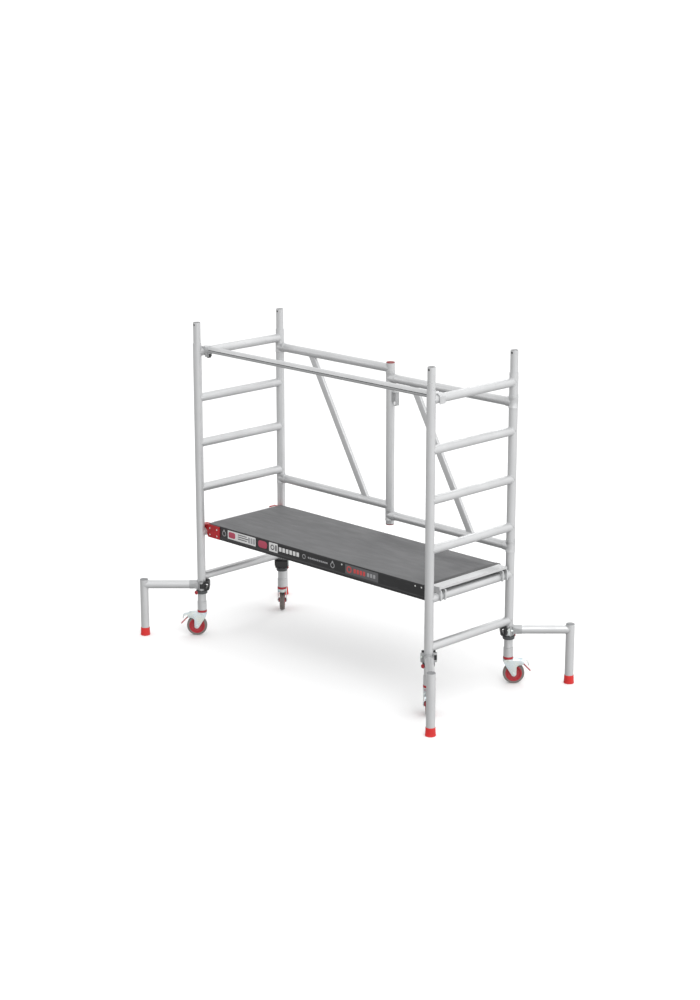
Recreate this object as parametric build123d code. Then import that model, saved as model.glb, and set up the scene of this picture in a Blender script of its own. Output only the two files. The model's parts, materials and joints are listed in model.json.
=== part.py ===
from build123d import *
import math
import os

# Mobile tower scaffold with folding rear gates, a hook-on deck and four stabilisers.
# Millimetres, +Z up. The origin is on the floor at the middle of the tower. +X runs along
# the deck, +Y points at the folding rear gates.

# Driving dimensions of the tower.
POST_X = 955.0  # post axes, half of the tower's length
POST_Y = 339.0  # post axes, half of the tower's width
POST_R = 25.4
POST_BORE_R = 22.2
POST_LOW = 219.0
POST_HIGH = 1836.0
RUNG_R = 25.2
RUNG_BORE_R = 23.0
RUNG_FIRST_Z = 381.0
RUNG_PITCH = 280.0
RUNG_COUNT = 6
COPE = 6.0  # how far short of a post's axis a coped tube stops
SPIGOT_R = 22.15
SPIGOT_ROOT_R = 21.8
SPIGOT_BORE_R = 19.5
SPIGOT_LOW = 1700.0
SPIGOT_HIGH = 1962.0
SPIGOT_SHOULDER = POST_HIGH + 2.0
SPIGOT_HOLE_R = 6.5
SPIGOT_HOLE_Z = SPIGOT_HIGH - 14.0
FIT = 0.06  # radial clearance of a turning or sliding fit
SEAT = 0.1  # radial gap of a part that is pushed on and stays

# Rear gates.
LEFT_GATE_Z = (883.0, 1723.0)
RIGHT_GATE_Z = (824.5, 1664.5)
MID_POST_LOW = 771.0
MID_POST_HIGH = 1756.0
CAP_THICKNESS = 6.0
SLEEVE_R = 28.0
SLEEVE_HEIGHT = 65.0
SOCKET_START = 20.0
SOCKET_END = 49.0
SOCKET_R = 28.5
SOCKET_DEPTH = 36.0  # from the sleeve's axis to the end of the tube in its socket
BRACE_DEPTH = 45.0
BRACE_WIDTH = 22.0
BRACE_WALL = 2.5
LEFT_BRACE_X = (-675.0, -192.0)  # at the top rail, at the bottom rail
RIGHT_BRACE_X = (178.0, 662.0)

# Adjustable legs and their locks.
LEG_R = 21.2
LEG_BORE_R = 18.2
LEG_LOW = 150.0
LEG_HIGH = 600.0
LEG_PLUG_HIGH = 200.0
LEG_HOLE_R = 4.5
LEG_HOLE_PITCH = 40.0
LEG_HOLE_COUNT = 7
COLLAR_R = 28.5
COLLAR_LOW = 164.0
COLLAR_HIGH = POST_LOW - 0.5
GROOVE_COUNT = 5
LOCK_Z = 282.0
BAND_R = 35.0
BAND_LOW = 271.0
BAND_HIGH = 292.0
BAND_BOSS_R = 9.0
BAND_BOSS_END = 40.0
LOCK_PIN_R = 4.0
KNOB_R = 12.0
KNOB_END = 50.0

# Casters.
TRAIL = 33.0
WHEEL_R = 62.5
RIM_R = 48.4
AXLE_R = 6.0
AXLE_HALF = 31.0
STEM_R = 11.0
STEM_HIGH = 196.0
HEAD_HIGH = LEG_LOW - 0.5
HEAD_LOW = 128.0
PLATE_INNER = 25.0
PLATE_OUTER = 28.0
BRAKE_X = 75.0
BRAKE_Z = 130.5
BRAKE_PIN_R = 4.0

# Stabilisers.
ARM_LENGTH = 355.0
ARM_Z = 326.0
FOOT_TUBE_LOW = 12.0
FOOT_TUBE_HIGH = 358.0
FOOT_HIGH = 50.0
FOOT_TOP_R = 27.5
FOOT_FLOOR_R = 30.0
CLAMP_LOW = 297.0
CLAMP_HIGH = 352.0
CLAMP_R = 32.0
ARM_SOCKET_R = 26.5
LATCH_PIN_Y = 37.0
LATCH_PIN_R = 5.0
LATCH_GAP = 1.6  # between the post and the latch's straight faces
CLAMP_REACH = 50.0
LUG_R = 10.0
KNUCKLE_LOW = 310.0
KNUCKLE_HIGH = 339.0

# Deck.
DECK_RUNG_Z = RUNG_FIRST_Z + RUNG_PITCH
DECK_TOP = 718.0
DECK_THICKNESS = 12.0
DECK_LEFT = -918.0
DECK_RIGHT = 916.0
DECK_HALF = 301.5
RAIL_OUTER = 305.0
RAIL_LOW = 632.0
RAIL_LIP_OUTER = 307.0
RAIL_LIP_HIGH = 650.0
RAIL_LEFT = -815.5
HOOK_GAP = 0.5  # radial gap between a hook and its rung
PROFILE_HALF = 284.0
HOOK_INNER = 236.0
HOOK_OUTER = 282.0
HOOK_FIN = 9.0

# Guard rail across the front.
GUARD_Y = -279.0
GUARD_Z = 1794.0
GUARD_R = 20.0
CLAW_HALF = 22.0
CLAW_SOCKET_END = -50.0
TRIGGER_X = -40.0
TRIGGER_Z = -20.0

RUNG_HEIGHTS = [RUNG_FIRST_Z + RUNG_PITCH * step for step in range(RUNG_COUNT)]
TOP_RUNG_Z = RUNG_HEIGHTS[-1]
CORNERS = {
    "front_left": (-1, -1),
    "rear_left": (-1, 1),
    "front_right": (1, -1),
    "rear_right": (1, 1),
}


# Basic shapes.


def rod(start, end, radius):
    """Round bar between two points."""
    line = Vector(*end) - Vector(*start)
    bar = Cylinder(radius, line.length, align=(Align.CENTER, Align.CENTER, Align.MIN))
    return Plane(origin=start, z_dir=line.normalized()).location * bar


def tube(start, end, radius, bore):
    """Round tube between two points, open at both ends."""
    return rod(start, end, radius) - rod(start, end, bore)


def upright(x, y, low, high, radius):
    """Round bar that stands between two heights."""
    return rod((x, y, low), (x, y, high), radius)


def block(x_span, y_span, z_span):
    """Box given by its spans along X, Y and Z."""
    spans = (x_span, y_span, z_span)
    middle = [(low + high) / 2 for low, high in spans]
    return Pos(*middle) * Box(*[high - low for low, high in spans])


def turned(profile):
    """Solid of revolution about Z from (radius, height) points."""
    outline = Polyline([(radius, 0, height) for radius, height in profile], close=True)
    return revolve(make_face(outline), Axis.Z)


def plate_xz(points, low, high):
    """Plate with an outline of (x, z) points, from one Y to another."""
    outline = Polyline([(x, low, z) for x, z in points], close=True)
    return extrude(make_face(outline), amount=high - low, dir=(0, 1, 0))


def corner_frame(side_x, side_y):
    """Frame of one corner: on the floor under the post, with X outward along the diagonal."""
    angle = math.degrees(math.atan2(side_y, side_x))
    return Pos(side_x * POST_X, side_y * POST_Y, 0) * Rot(0, 0, angle)


def lock_direction(side_x, side_y):
    """Unit vector of the lock's pin in its corner's frame: it points along the tower's Y."""
    angle = math.radians(45 * side_x * side_y)
    return math.cos(angle), math.sin(angle)


def save(name, *pieces):
    """Write one node, which may hold several solids."""
    solids = [solid for piece in pieces for solid in piece.solids()]
    shape = solids[0] if len(solids) == 1 else Compound(solids)
    export_step(shape, f"parts/{name}.step")


# End frames: two posts and six rungs, welded.


def end_frame(side_x):
    """Posts and rungs of one end of the tower."""
    x = side_x * POST_X
    posts = []
    for side_y in (-1, 1):
        y = side_y * POST_Y
        post = tube((x, y, POST_LOW), (x, y, POST_HIGH), POST_R, POST_BORE_R)
        pin_hole = rod((x, y, LOCK_Z), (x, y + side_y * BAND_R, LOCK_Z), LOCK_PIN_R + FIT)
        posts.append(post - pin_hole)
    reach = POST_Y - COPE
    rungs = []
    for z in RUNG_HEIGHTS:
        rung = tube((x, -reach, z), (x, reach, z), RUNG_R, RUNG_BORE_R)
        for side_y in (-1, 1):
            rung -= upright(x, side_y * POST_Y, z - 2 * RUNG_R, z + 2 * RUNG_R, POST_R)
        rungs.append(rung)
    return posts + rungs


def spigots():
    """Joining spigots in the tops of the four posts, each with a hole for a locking clip."""
    pieces = []
    for side_x, side_y in CORNERS.values():
        x, y = side_x * POST_X, side_y * POST_Y
        shoulder = (x, y, SPIGOT_SHOULDER)
        spigot = tube(shoulder, (x, y, SPIGOT_HIGH), SPIGOT_R, SPIGOT_BORE_R)
        spigot += tube((x, y, SPIGOT_LOW), shoulder, SPIGOT_ROOT_R, SPIGOT_BORE_R)
        clip_hole = rod(
            (x, y - POST_R, SPIGOT_HOLE_Z), (x, y + POST_R, SPIGOT_HOLE_Z), SPIGOT_HOLE_R
        )
        pieces.append(spigot - clip_hole)
    return pieces


# Rear gates: rails, braces and the hinge sleeves that turn on the posts.


def hinge_sleeve(x, z, toward):
    """Hinge casting: a sleeve on a post and a socket for a rail, towards +X or -X."""
    sleeve = upright(x, POST_Y, z - SLEEVE_HEIGHT / 2, z + SLEEVE_HEIGHT / 2, SLEEVE_R)
    start = (x + toward * SOCKET_START, POST_Y, z)
    end = (x + toward * SOCKET_END, POST_Y, z)
    casting = sleeve + rod(start, end, SOCKET_R)
    casting -= upright(x, POST_Y, z - SLEEVE_HEIGHT, z + SLEEVE_HEIGHT, POST_R + SEAT)
    casting -= rod((x + toward * SOCKET_DEPTH, POST_Y, z), end, RUNG_R + SEAT)
    return casting


def brace(top_x, top_z, bottom_x, bottom_z):
    """Flat-sided brace tube from a gate's top rail down to its bottom rail."""
    run = Vector(bottom_x - top_x, 0, bottom_z - top_z)
    middle = ((top_x + bottom_x) / 2, POST_Y, (top_z + bottom_z) / 2)
    lie = Plane(origin=middle, x_dir=run.normalized(), z_dir=(0, 1, 0)).location
    beam = lie * Box(run.length, BRACE_DEPTH, BRACE_WIDTH)
    wall = 2 * BRACE_WALL
    beam -= lie * Box(run.length, BRACE_DEPTH - wall, BRACE_WIDTH - wall)
    for x, z in ((top_x, top_z), (bottom_x, bottom_z)):
        beam -= rod((x - 100, POST_Y, z), (x + 100, POST_Y, z), RUNG_R)
    return beam


def gate_rail(start_x, end_x, z):
    """Gate rail along X, between two points of the rear plane."""
    return tube((start_x, POST_Y, z), (end_x, POST_Y, z), RUNG_R, RUNG_BORE_R)


def gate_left():
    """Left gate: its rails turn on the rear left post and are welded to the middle post."""
    pieces = []
    for z in LEFT_GATE_Z:
        rail = gate_rail(-POST_X + SOCKET_DEPTH, -COPE, z)
        rail -= upright(0, POST_Y, z - 2 * RUNG_R, z + 2 * RUNG_R, POST_R)
        pieces += [rail, hinge_sleeve(-POST_X, z, 1)]
    low, high = LEFT_GATE_Z
    pieces.append(brace(LEFT_BRACE_X[0], high, LEFT_BRACE_X[1], low))
    return pieces


def gate_right():
    """Right gate: it turns on the middle post and on the rear right post."""
    pieces = []
    for z in RIGHT_GATE_Z:
        pieces.append(gate_rail(SOCKET_DEPTH, POST_X - SOCKET_DEPTH, z))
        pieces.append(hinge_sleeve(0, z, 1))
        pieces.append(hinge_sleeve(POST_X, z, -1))
    low, high = RIGHT_GATE_Z
    pieces.append(brace(RIGHT_BRACE_X[0], high, RIGHT_BRACE_X[1], low))
    return pieces


def mid_post_caps():
    """Push-in caps in both ends of the middle post."""
    plug_r = POST_BORE_R - SEAT
    plug_length = 18.0
    cap = upright(0, POST_Y, MID_POST_HIGH, MID_POST_HIGH + CAP_THICKNESS, POST_R)
    cap += upright(0, POST_Y, MID_POST_HIGH - plug_length, MID_POST_HIGH, plug_r)
    foot = upright(0, POST_Y, MID_POST_LOW - CAP_THICKNESS, MID_POST_LOW, POST_R)
    foot += upright(0, POST_Y, MID_POST_LOW, MID_POST_LOW + plug_length, plug_r)
    return cap, foot


def lock_bracket():
    """Bent strap on the middle post that catches the fold lock."""
    low, high, reach, strap = 1505.0, 1586.0, 58.0, 5.0
    width = (POST_Y - 15, POST_Y + 15)
    root = POST_R + 0.3
    back = block((root, root + strap), width, (low + 20, high))
    top = block((root, reach), width, (high - strap, high))
    front = block((reach - strap, reach), width, (low, high))
    tongue = block((reach - 18, reach), width, (low, low + strap))
    return back + top + front + tongue


# Legs and their locks.


def leg_collar():
    """Grooved collar at the foot of a telescopic leg, with the plug that takes the caster's stem."""
    groove_pitch = (COLLAR_HIGH - COLLAR_LOW) / (GROOVE_COUNT + 1)
    grooves = []
    for count in range(1, GROOVE_COUNT + 1):
        z = COLLAR_LOW + groove_pitch * count
        grooves += [(COLLAR_R, z - 1.5), (COLLAR_R - 1, z - 1.5)]
        grooves += [(COLLAR_R - 1, z + 1.5), (COLLAR_R, z + 1.5)]
    profile = [(STEM_R + FIT, LEG_LOW), (COLLAR_R - 1.5, LEG_LOW)]
    profile += [(COLLAR_R - 1.5, COLLAR_LOW), (COLLAR_R, COLLAR_LOW), *grooves]
    profile += [(COLLAR_R, COLLAR_HIGH), (LEG_BORE_R, COLLAR_HIGH)]
    profile += [(LEG_BORE_R, LEG_PLUG_HIGH), (STEM_R + FIT, LEG_PLUG_HIGH)]
    return turned(profile)


def leg_tube(side_x, side_y):
    """Tube of a telescopic leg, which slides in the post, with the holes for its lock."""
    sleeve = tube((0, 0, COLLAR_HIGH), (0, 0, LEG_HIGH), LEG_R, LEG_BORE_R)
    across, along = lock_direction(side_x, side_y)
    for count in range(LEG_HOLE_COUNT):
        z = LOCK_Z + LEG_HOLE_PITCH * count
        sleeve -= rod((0, 0, z), (POST_R * across, POST_R * along, z), LEG_HOLE_R)
    return sleeve


def lock_band(side_x, side_y):
    """Band round the post with the boss that guides the lock's pin."""
    across, along = lock_direction(side_x, side_y)
    boss_end = (BAND_BOSS_END * across, BAND_BOSS_END * along, LOCK_Z)
    band = upright(0, 0, BAND_LOW, BAND_HIGH, BAND_R) + rod((0, 0, LOCK_Z), boss_end, BAND_BOSS_R)
    band -= upright(0, 0, BAND_LOW, BAND_HIGH, POST_R + SEAT)
    return band - rod((0, 0, LOCK_Z), boss_end, LOCK_PIN_R + FIT)


def lock_knob(side_x, side_y):
    """Pull knob on the lock's pin. The pin's nose stops just outside the leg."""
    across, along = lock_direction(side_x, side_y)
    shoulder = BAND_BOSS_END + 0.5
    neck = KNOB_R - 4.0

    def point(distance):
        return (distance * across, distance * along, LOCK_Z)

    knob = rod(point(POST_BORE_R + 0.1), point(shoulder + 1), LOCK_PIN_R)
    knob += rod(point(shoulder), point(shoulder + 3), neck)
    return knob + rod(point(shoulder + 3), point(KNOB_END), KNOB_R)


# Casters.


def caster_fork():
    """Fork with its swivel head and stem, the axle and the brake's pivot pin."""
    profile = [(0, HEAD_LOW), (26, HEAD_LOW), (30, 140), (30, HEAD_HIGH)]
    profile += [(STEM_R, HEAD_HIGH), (STEM_R, STEM_HIGH), (0, STEM_HIGH)]
    fork = turned(profile)
    cheek = [(-27, 147), (-26, 127), (TRAIL - 13, 55), (TRAIL + 15, 58), (TRAIL + 15, 108)]
    cheek += [(TRAIL + 28, 116), (TRAIL + 52, 118), (TRAIL + 56, 126), (TRAIL + 40, 143)]
    cheek += [(TRAIL - 4, 148)]
    for low, high in ((-PLATE_OUTER, -PLATE_INNER), (PLATE_INNER, PLATE_OUTER)):
        fork += plate_xz(cheek, low, high)
        fork += rod((TRAIL, low, WHEEL_R), (TRAIL, high, WHEEL_R), 15)
    fork += block((-26, TRAIL + 38), (-PLATE_OUTER, PLATE_OUTER), (140, 146))
    fork += rod((TRAIL, -AXLE_HALF, WHEEL_R), (TRAIL, AXLE_HALF, WHEEL_R), AXLE_R)
    pin_half = PLATE_OUTER + 1.5
    fork += rod((BRAKE_X, -pin_half, BRAKE_Z), (BRAKE_X, pin_half, BRAKE_Z), BRAKE_PIN_R)
    return fork


def on_axle(shape):
    """Move a shape turned about Z onto the caster's axle."""
    return Pos(TRAIL, 0, WHEEL_R) * Rot(90, 0, 0) * shape


def caster_wheel():
    """Dished wheel core with its hub."""
    half = [(RIM_R, 14), (40, 14), (37, 6), (16, 6), (13, 23.5), (AXLE_R + FIT, 23.5)]
    return on_axle(turned(half + [(radius, -width) for radius, width in reversed(half)]))


def caster_tyre():
    """Tyre with a crowned tread."""
    half = [(RIM_R + SEAT, 15), (54, 16), (60, 14), (WHEEL_R, 8)]
    return on_axle(turned(half + [(radius, -width) for radius, width in reversed(half)]))


def brake_pedal():
    """Foot brake: a boss on its pin, the pedal above and the release tab below."""
    boss = rod((BRAKE_X, -24.5, BRAKE_Z), (BRAKE_X, 24.5, BRAKE_Z), 7)
    pedal = [(71, 134), (74, 137.8), (112, 134), (121, 124), (119, 112), (116, 112)]
    pedal += [(117.5, 123), (110.5, 131), (80, 133)]
    tab = [(78, 125), (82, 128), (131, 77), (128, 74)]
    lever = boss + plate_xz(pedal, -24, 24) + plate_xz(tab, -14, 14)
    return lever - rod((BRAKE_X, -25, BRAKE_Z), (BRAKE_X, 25, BRAKE_Z), BRAKE_PIN_R + FIT)


# Stabilisers.


def stabiliser():
    """Clamp casting with its arm and foot tube, outward along the corner's diagonal."""
    height = (CLAMP_LOW, CLAMP_HIGH)
    casting = upright(0, 0, *height, CLAMP_R)
    casting -= block((-CLAMP_R, 1.5), (-CLAMP_R, CLAMP_R), height)
    casting += block((1.5, 12), (-45, -26), height)
    casting += block((0, 12), (26, 45), height) + upright(0, LATCH_PIN_Y, *height, LUG_R)
    casting += rod((SOCKET_START, 0, ARM_Z), (75, 0, ARM_Z), ARM_SOCKET_R)
    casting -= upright(0, LATCH_PIN_Y, KNUCKLE_LOW - 0.5, KNUCKLE_HIGH + 0.5, LUG_R + 1)
    casting += upright(0, LATCH_PIN_Y, *height, LATCH_PIN_R)
    casting -= upright(0, 0, CLAMP_LOW - 5, CLAMP_HIGH + 5, POST_R + FIT)
    arm = tube((75, 0, ARM_Z), (ARM_LENGTH - COPE, 0, ARM_Z), RUNG_R, RUNG_BORE_R)
    arm -= upright(ARM_LENGTH, 0, ARM_Z - 60, ARM_Z + 60, POST_R)
    foot_low, foot_high = (ARM_LENGTH, 0, FOOT_TUBE_LOW), (ARM_LENGTH, 0, FOOT_TUBE_HIGH)
    return casting, arm, tube(foot_low, foot_high, POST_R, POST_BORE_R)


def stabiliser_foot():
    """Rubber foot pushed onto the foot tube."""
    bore = POST_R + SEAT
    profile = [(0, 0), (FOOT_FLOOR_R, 0), (FOOT_TOP_R, FOOT_HIGH), (bore, FOOT_HIGH)]
    profile += [(bore, FOOT_TUBE_LOW), (0, FOOT_TUBE_LOW)]
    return Pos(ARM_LENGTH, 0, 0) * turned(profile)


def clamp_latch():
    """Latch that closes the clamp behind the post: an oval loop with an ear each side of the post."""
    height = (CLAMP_LOW, CLAMP_HIGH)
    tall = CLAMP_HIGH - CLAMP_LOW
    side_on = Plane(origin=(-32, 40, sum(height) / 2), x_dir=(1, 0, 0), z_dir=(0, -1, 0))
    loop = extrude(side_on * RectangleRounded(37, tall, 14), amount=78)
    loop -= extrude(side_on * Pos(-1, 0, 0) * RectangleRounded(19, tall - 24, 9), amount=78)
    clear = POST_R + LATCH_GAP
    back = loop - block((-clear, 0), (-CLAMP_REACH, CLAMP_REACH), height)
    far_ear = loop & block((-clear, 0), (-CLAMP_REACH, -clear), height)
    hinge_ear = loop & block((-clear, 0), (clear, CLAMP_REACH), height)
    hinge_ear += block((-20, -6), (31, 42), (KNUCKLE_LOW, KNUCKLE_HIGH))
    hinge_ear += upright(0, LATCH_PIN_Y, KNUCKLE_LOW, KNUCKLE_HIGH, LUG_R)
    return back, far_ear, hinge_ear - upright(0, LATCH_PIN_Y, *height, LATCH_PIN_R + FIT)


# Deck.


def deck_panel():
    """Deck board."""
    return block((DECK_LEFT, DECK_RIGHT), (-DECK_HALF, DECK_HALF), (DECK_TOP - DECK_THICKNESS, DECK_TOP))


def side_rail(side):
    """Extruded side rail: a web with a ledge for the board and a lip along the bottom."""
    wall, ledge_z = 3.0, DECK_TOP - DECK_THICKNESS
    inner = RAIL_OUTER - wall

    def bar(near, far, low, high):
        return block((RAIL_LEFT, DECK_RIGHT), sorted((side * near, side * far)), (low, high))

    web = bar(inner, RAIL_OUTER, RAIL_LOW, DECK_TOP)
    ledge = bar(inner - 26, inner, ledge_z - wall, ledge_z)
    flange = bar(inner - 30, inner, RAIL_LOW, RAIL_LOW + 4)
    lip = bar(inner, RAIL_LIP_OUTER, RAIL_LOW, RAIL_LIP_HIGH)
    return web + ledge + flange + lip


def end_profile_right():
    """Flat profile over the right rung, with a lip along its outer edge."""
    top, bottom = DECK_TOP + 4, DECK_TOP
    width = (-PROFILE_HALF, PROFILE_HALF)
    plate = block((DECK_RIGHT + 1, 981), width, (bottom, top))
    lip = block((977, 981), width, (707, top))
    root = block((DECK_RIGHT + 1, DECK_RIGHT + 9), width, (640, top))
    return plate + lip + root


def end_profile_left():
    """Cross member that closes the left end of the deck."""
    return block((DECK_LEFT - 9, DECK_LEFT - 1), (-256, 256), (640, DECK_TOP))


def over_rung(outline, rung_x, low, high):
    """Plate that hangs over a rung: an outline less the rung and the slot below it."""
    gap = RUNG_R + HOOK_GAP
    hook = plate_xz(outline, low, high)
    hook -= rod((rung_x, low - 1, DECK_RUNG_Z), (rung_x, high + 1, DECK_RUNG_Z), gap)
    return hook - block((rung_x - gap, rung_x + gap), (low - 1, high + 1), (600, DECK_RUNG_Z))


def right_hook(side):
    """Hook under the right profile: two fins over the rung, joined along their inner edge."""
    outline = [(926, 640), (926, 717), (976, 717), (976, 706), (990, 702), (990, 644), (980, 640)]
    hook = []
    for near, far in ((HOOK_INNER, HOOK_INNER + HOOK_FIN), (HOOK_OUTER - HOOK_FIN, HOOK_OUTER)):
        hook.append(over_rung(outline, POST_X, *sorted((side * near, side * far))))
    bridge = block((926, 929), sorted((side * HOOK_INNER, side * HOOK_OUTER)), (644, 717))
    return hook[0] + hook[1] + bridge


def left_hook(side):
    """Cast claw at the left end of a side rail, with its jaw over the rung."""
    outline = [(-816, RAIL_LOW), (-816, 712), (-927, 712), (-940, 707), (-985, 706)]
    outline += [(-988, 696), (-985, 672), (-981, 668), (-927, 640), (-920, RAIL_LOW)]
    low, high = sorted((side * 262, side * 309))
    claw = over_rung(outline, -POST_X, low, high)
    low, high = sorted((side * (DECK_HALF + 0.3), side * 250))
    return claw - block((DECK_LEFT - 0.3, -815), (low, high), (DECK_TOP - DECK_THICKNESS - 0.3, 730))


def deck_crossbars():
    """Box-section bars under the board."""
    return [block((x - 20, x + 20), (-275, 275), (664, 704)) for x in (-600, -200, 200, 600)]


def rail_rivets():
    """Rivet heads along both side rails and on the claws."""
    heads = []
    for side in (-1, 1):
        for x in (238, 817, 865):
            face = side * RAIL_OUTER
            heads.append(rod((x, face, 700), (x, face + side * 2.2, 700), 5))
        for x, z in ((-905, 690), (-905, 650), (-840, 690), (-840, 650)):
            face = side * 309
            heads.append(rod((x, face, z), (x, face + side * 2.2, z), 5))
    return heads


# Guard rail.


def guard_frame(side_x):
    """Frame on the top rung's axis where the guard hooks on, with X away from the deck."""
    return Pos(side_x * POST_X, GUARD_Y, TOP_RUNG_Z) * Rot(0, 0, 0 if side_x > 0 else 180)


def guard_claw():
    """Claw over the top rung, with a socket for the guard tube and ears for its trigger."""
    gap = RUNG_R + HOOK_GAP
    outline = [(-33, -30), (-33, 31), (-27, 35), (-14, 30), (15, 30), (30, 17), (30, -26)]
    drop = GUARD_Z - TOP_RUNG_Z
    claw = plate_xz(outline, -CLAW_HALF, CLAW_HALF)
    claw += rod((CLAW_SOCKET_END, 0, drop), (-30, 0, drop), GUARD_R + 3.5)
    claw -= rod((0, -40, 0), (0, 40, 0), gap) + block((-gap, gap), (-40, 40), (-50, 0))
    claw -= rod((CLAW_SOCKET_END, 0, drop), (-35, 0, drop), GUARD_R + SEAT)
    claw -= block((-34, -gap + 1), (-11, 11), (-37, TRIGGER_Z + 6))
    for side in (-1, 1):
        claw += block((-47, -33), sorted((side * 12, side * 16)), (-28, -12))
    return claw - rod((TRIGGER_X, -20, TRIGGER_Z), (TRIGGER_X, 20, TRIGGER_Z), 3 + FIT)


def guard_trigger():
    """Lock trigger under the guard's socket, drawn back clear of the rung."""
    trigger = rod((TRIGGER_X, -11, TRIGGER_Z), (TRIGGER_X, 11, TRIGGER_Z), 5)
    outline = [(-45, -20), (-45, -36), (-28, -36), (-27, -30), (-36, -27), (-36, -20)]
    trigger += plate_xz(outline, -10, 10)
    return trigger + rod((TRIGGER_X, -17, TRIGGER_Z), (TRIGGER_X, 17, TRIGGER_Z), 3)


def main():
    """Write every node."""
    os.makedirs("parts", exist_ok=True)
    save("end_frame_left", *end_frame(-1))
    save("end_frame_right", *end_frame(1))
    save("spigots", *spigots())
    save("gate_left", *gate_left())
    save("gate_right", *gate_right())
    low, high = (0, POST_Y, MID_POST_LOW), (0, POST_Y, MID_POST_HIGH)
    save("mid_post", tube(low, high, POST_R, POST_BORE_R))
    save("mid_post_caps", *mid_post_caps())
    save("lock_bracket", lock_bracket())

    bands = []
    for name, (side_x, side_y) in CORNERS.items():
        place = corner_frame(side_x, side_y)
        bands.append(place * lock_band(side_x, side_y))
        save(f"{name}_leg_collar", place * leg_collar())
        save(f"{name}_leg_inner_tube", place * leg_tube(side_x, side_y))
        save(f"{name}_leg_lock_knob", place * lock_knob(side_x, side_y))
        save(f"{name}_caster_fork", place * caster_fork())
        save(f"{name}_caster_wheel", place * caster_wheel())
        save(f"{name}_caster_tyre", place * caster_tyre())
        save(f"{name}_brake_pedal", place * brake_pedal())
        save(f"{name}_stabiliser", *[place * piece for piece in stabiliser()])
        save(f"{name}_stabiliser_foot", place * stabiliser_foot())
        save(f"{name}_clamp_latch", *[place * piece for piece in clamp_latch()])
    save("leg_lock_bands", *bands)

    save("deck_panel", deck_panel())
    save("deck_crossbars", *deck_crossbars())
    save("end_profile_right", end_profile_right())
    save("end_profile_left", end_profile_left())
    save("rail_rivets", *rail_rivets())
    for name, side in (("front", -1), ("rear", 1)):
        save(f"side_rail_{name}", side_rail(side))
        save(f"left_hook_{name}", left_hook(side))
        save(f"right_hook_{name}", right_hook(side))

    tube_end = POST_X - 36
    ends = (-tube_end, GUARD_Y, GUARD_Z), (tube_end, GUARD_Y, GUARD_Z)
    save("guard_tube", tube(*ends, GUARD_R, GUARD_R - 2))
    save("guard_claws", *[guard_frame(side) * guard_claw() for side in (-1, 1)])
    save("guard_trigger_left", guard_frame(-1) * guard_trigger())
    save("guard_trigger_right", guard_frame(1) * guard_trigger())


main()
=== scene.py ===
import json
import math

import bmesh
import bpy
import numpy as np
from bpy.props import FloatProperty, FloatVectorProperty, IntProperty, PointerProperty
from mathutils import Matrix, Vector


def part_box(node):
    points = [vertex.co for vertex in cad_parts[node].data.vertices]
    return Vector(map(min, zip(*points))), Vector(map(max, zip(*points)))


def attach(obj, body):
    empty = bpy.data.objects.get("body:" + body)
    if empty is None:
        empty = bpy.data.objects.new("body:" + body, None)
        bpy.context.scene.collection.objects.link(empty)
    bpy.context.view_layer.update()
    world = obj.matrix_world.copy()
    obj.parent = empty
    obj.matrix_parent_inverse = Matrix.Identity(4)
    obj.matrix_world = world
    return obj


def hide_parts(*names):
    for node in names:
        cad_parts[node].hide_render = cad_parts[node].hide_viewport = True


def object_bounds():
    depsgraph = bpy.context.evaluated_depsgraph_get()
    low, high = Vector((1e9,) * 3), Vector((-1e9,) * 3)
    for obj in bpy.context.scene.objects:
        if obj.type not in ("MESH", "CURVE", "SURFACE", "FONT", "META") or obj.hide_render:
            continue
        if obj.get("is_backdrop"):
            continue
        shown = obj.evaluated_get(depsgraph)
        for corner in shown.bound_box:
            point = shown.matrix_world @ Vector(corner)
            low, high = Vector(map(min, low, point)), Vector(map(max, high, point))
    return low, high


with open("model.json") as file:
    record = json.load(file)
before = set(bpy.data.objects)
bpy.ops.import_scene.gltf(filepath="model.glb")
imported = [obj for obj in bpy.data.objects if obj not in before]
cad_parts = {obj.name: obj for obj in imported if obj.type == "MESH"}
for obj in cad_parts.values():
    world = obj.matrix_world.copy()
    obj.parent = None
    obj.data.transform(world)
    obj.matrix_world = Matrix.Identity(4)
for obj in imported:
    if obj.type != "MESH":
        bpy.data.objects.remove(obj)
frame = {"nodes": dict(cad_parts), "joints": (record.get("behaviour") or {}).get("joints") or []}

bl_info = {
    "name": "Mobile tower scaffold",
    "version": (1, 0, 0),
    "blender": (4, 5, 0),
    "location": "View3D > Sidebar > Scaffold",
    "description": "Tubes, castings, deck, casters and stabilisers of a mobile tower scaffold",
    "category": "Object",
}

MM = 0.001
CORNERS = ("front_left", "rear_left", "front_right", "rear_right")
SIDES = {"left": -1.0, "right": 1.0}
UP = np.array((0.0, 0.0, 1.0))
TURN = 2 * math.pi

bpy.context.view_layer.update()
JOINTS = {entry["name"]: entry for entry in frame["joints"]}


# Places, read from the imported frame.


def span(node):
    """Lowest and highest corner of a CAD node as two arrays."""
    low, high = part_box(node)
    return np.array(low), np.array(high)


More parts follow.
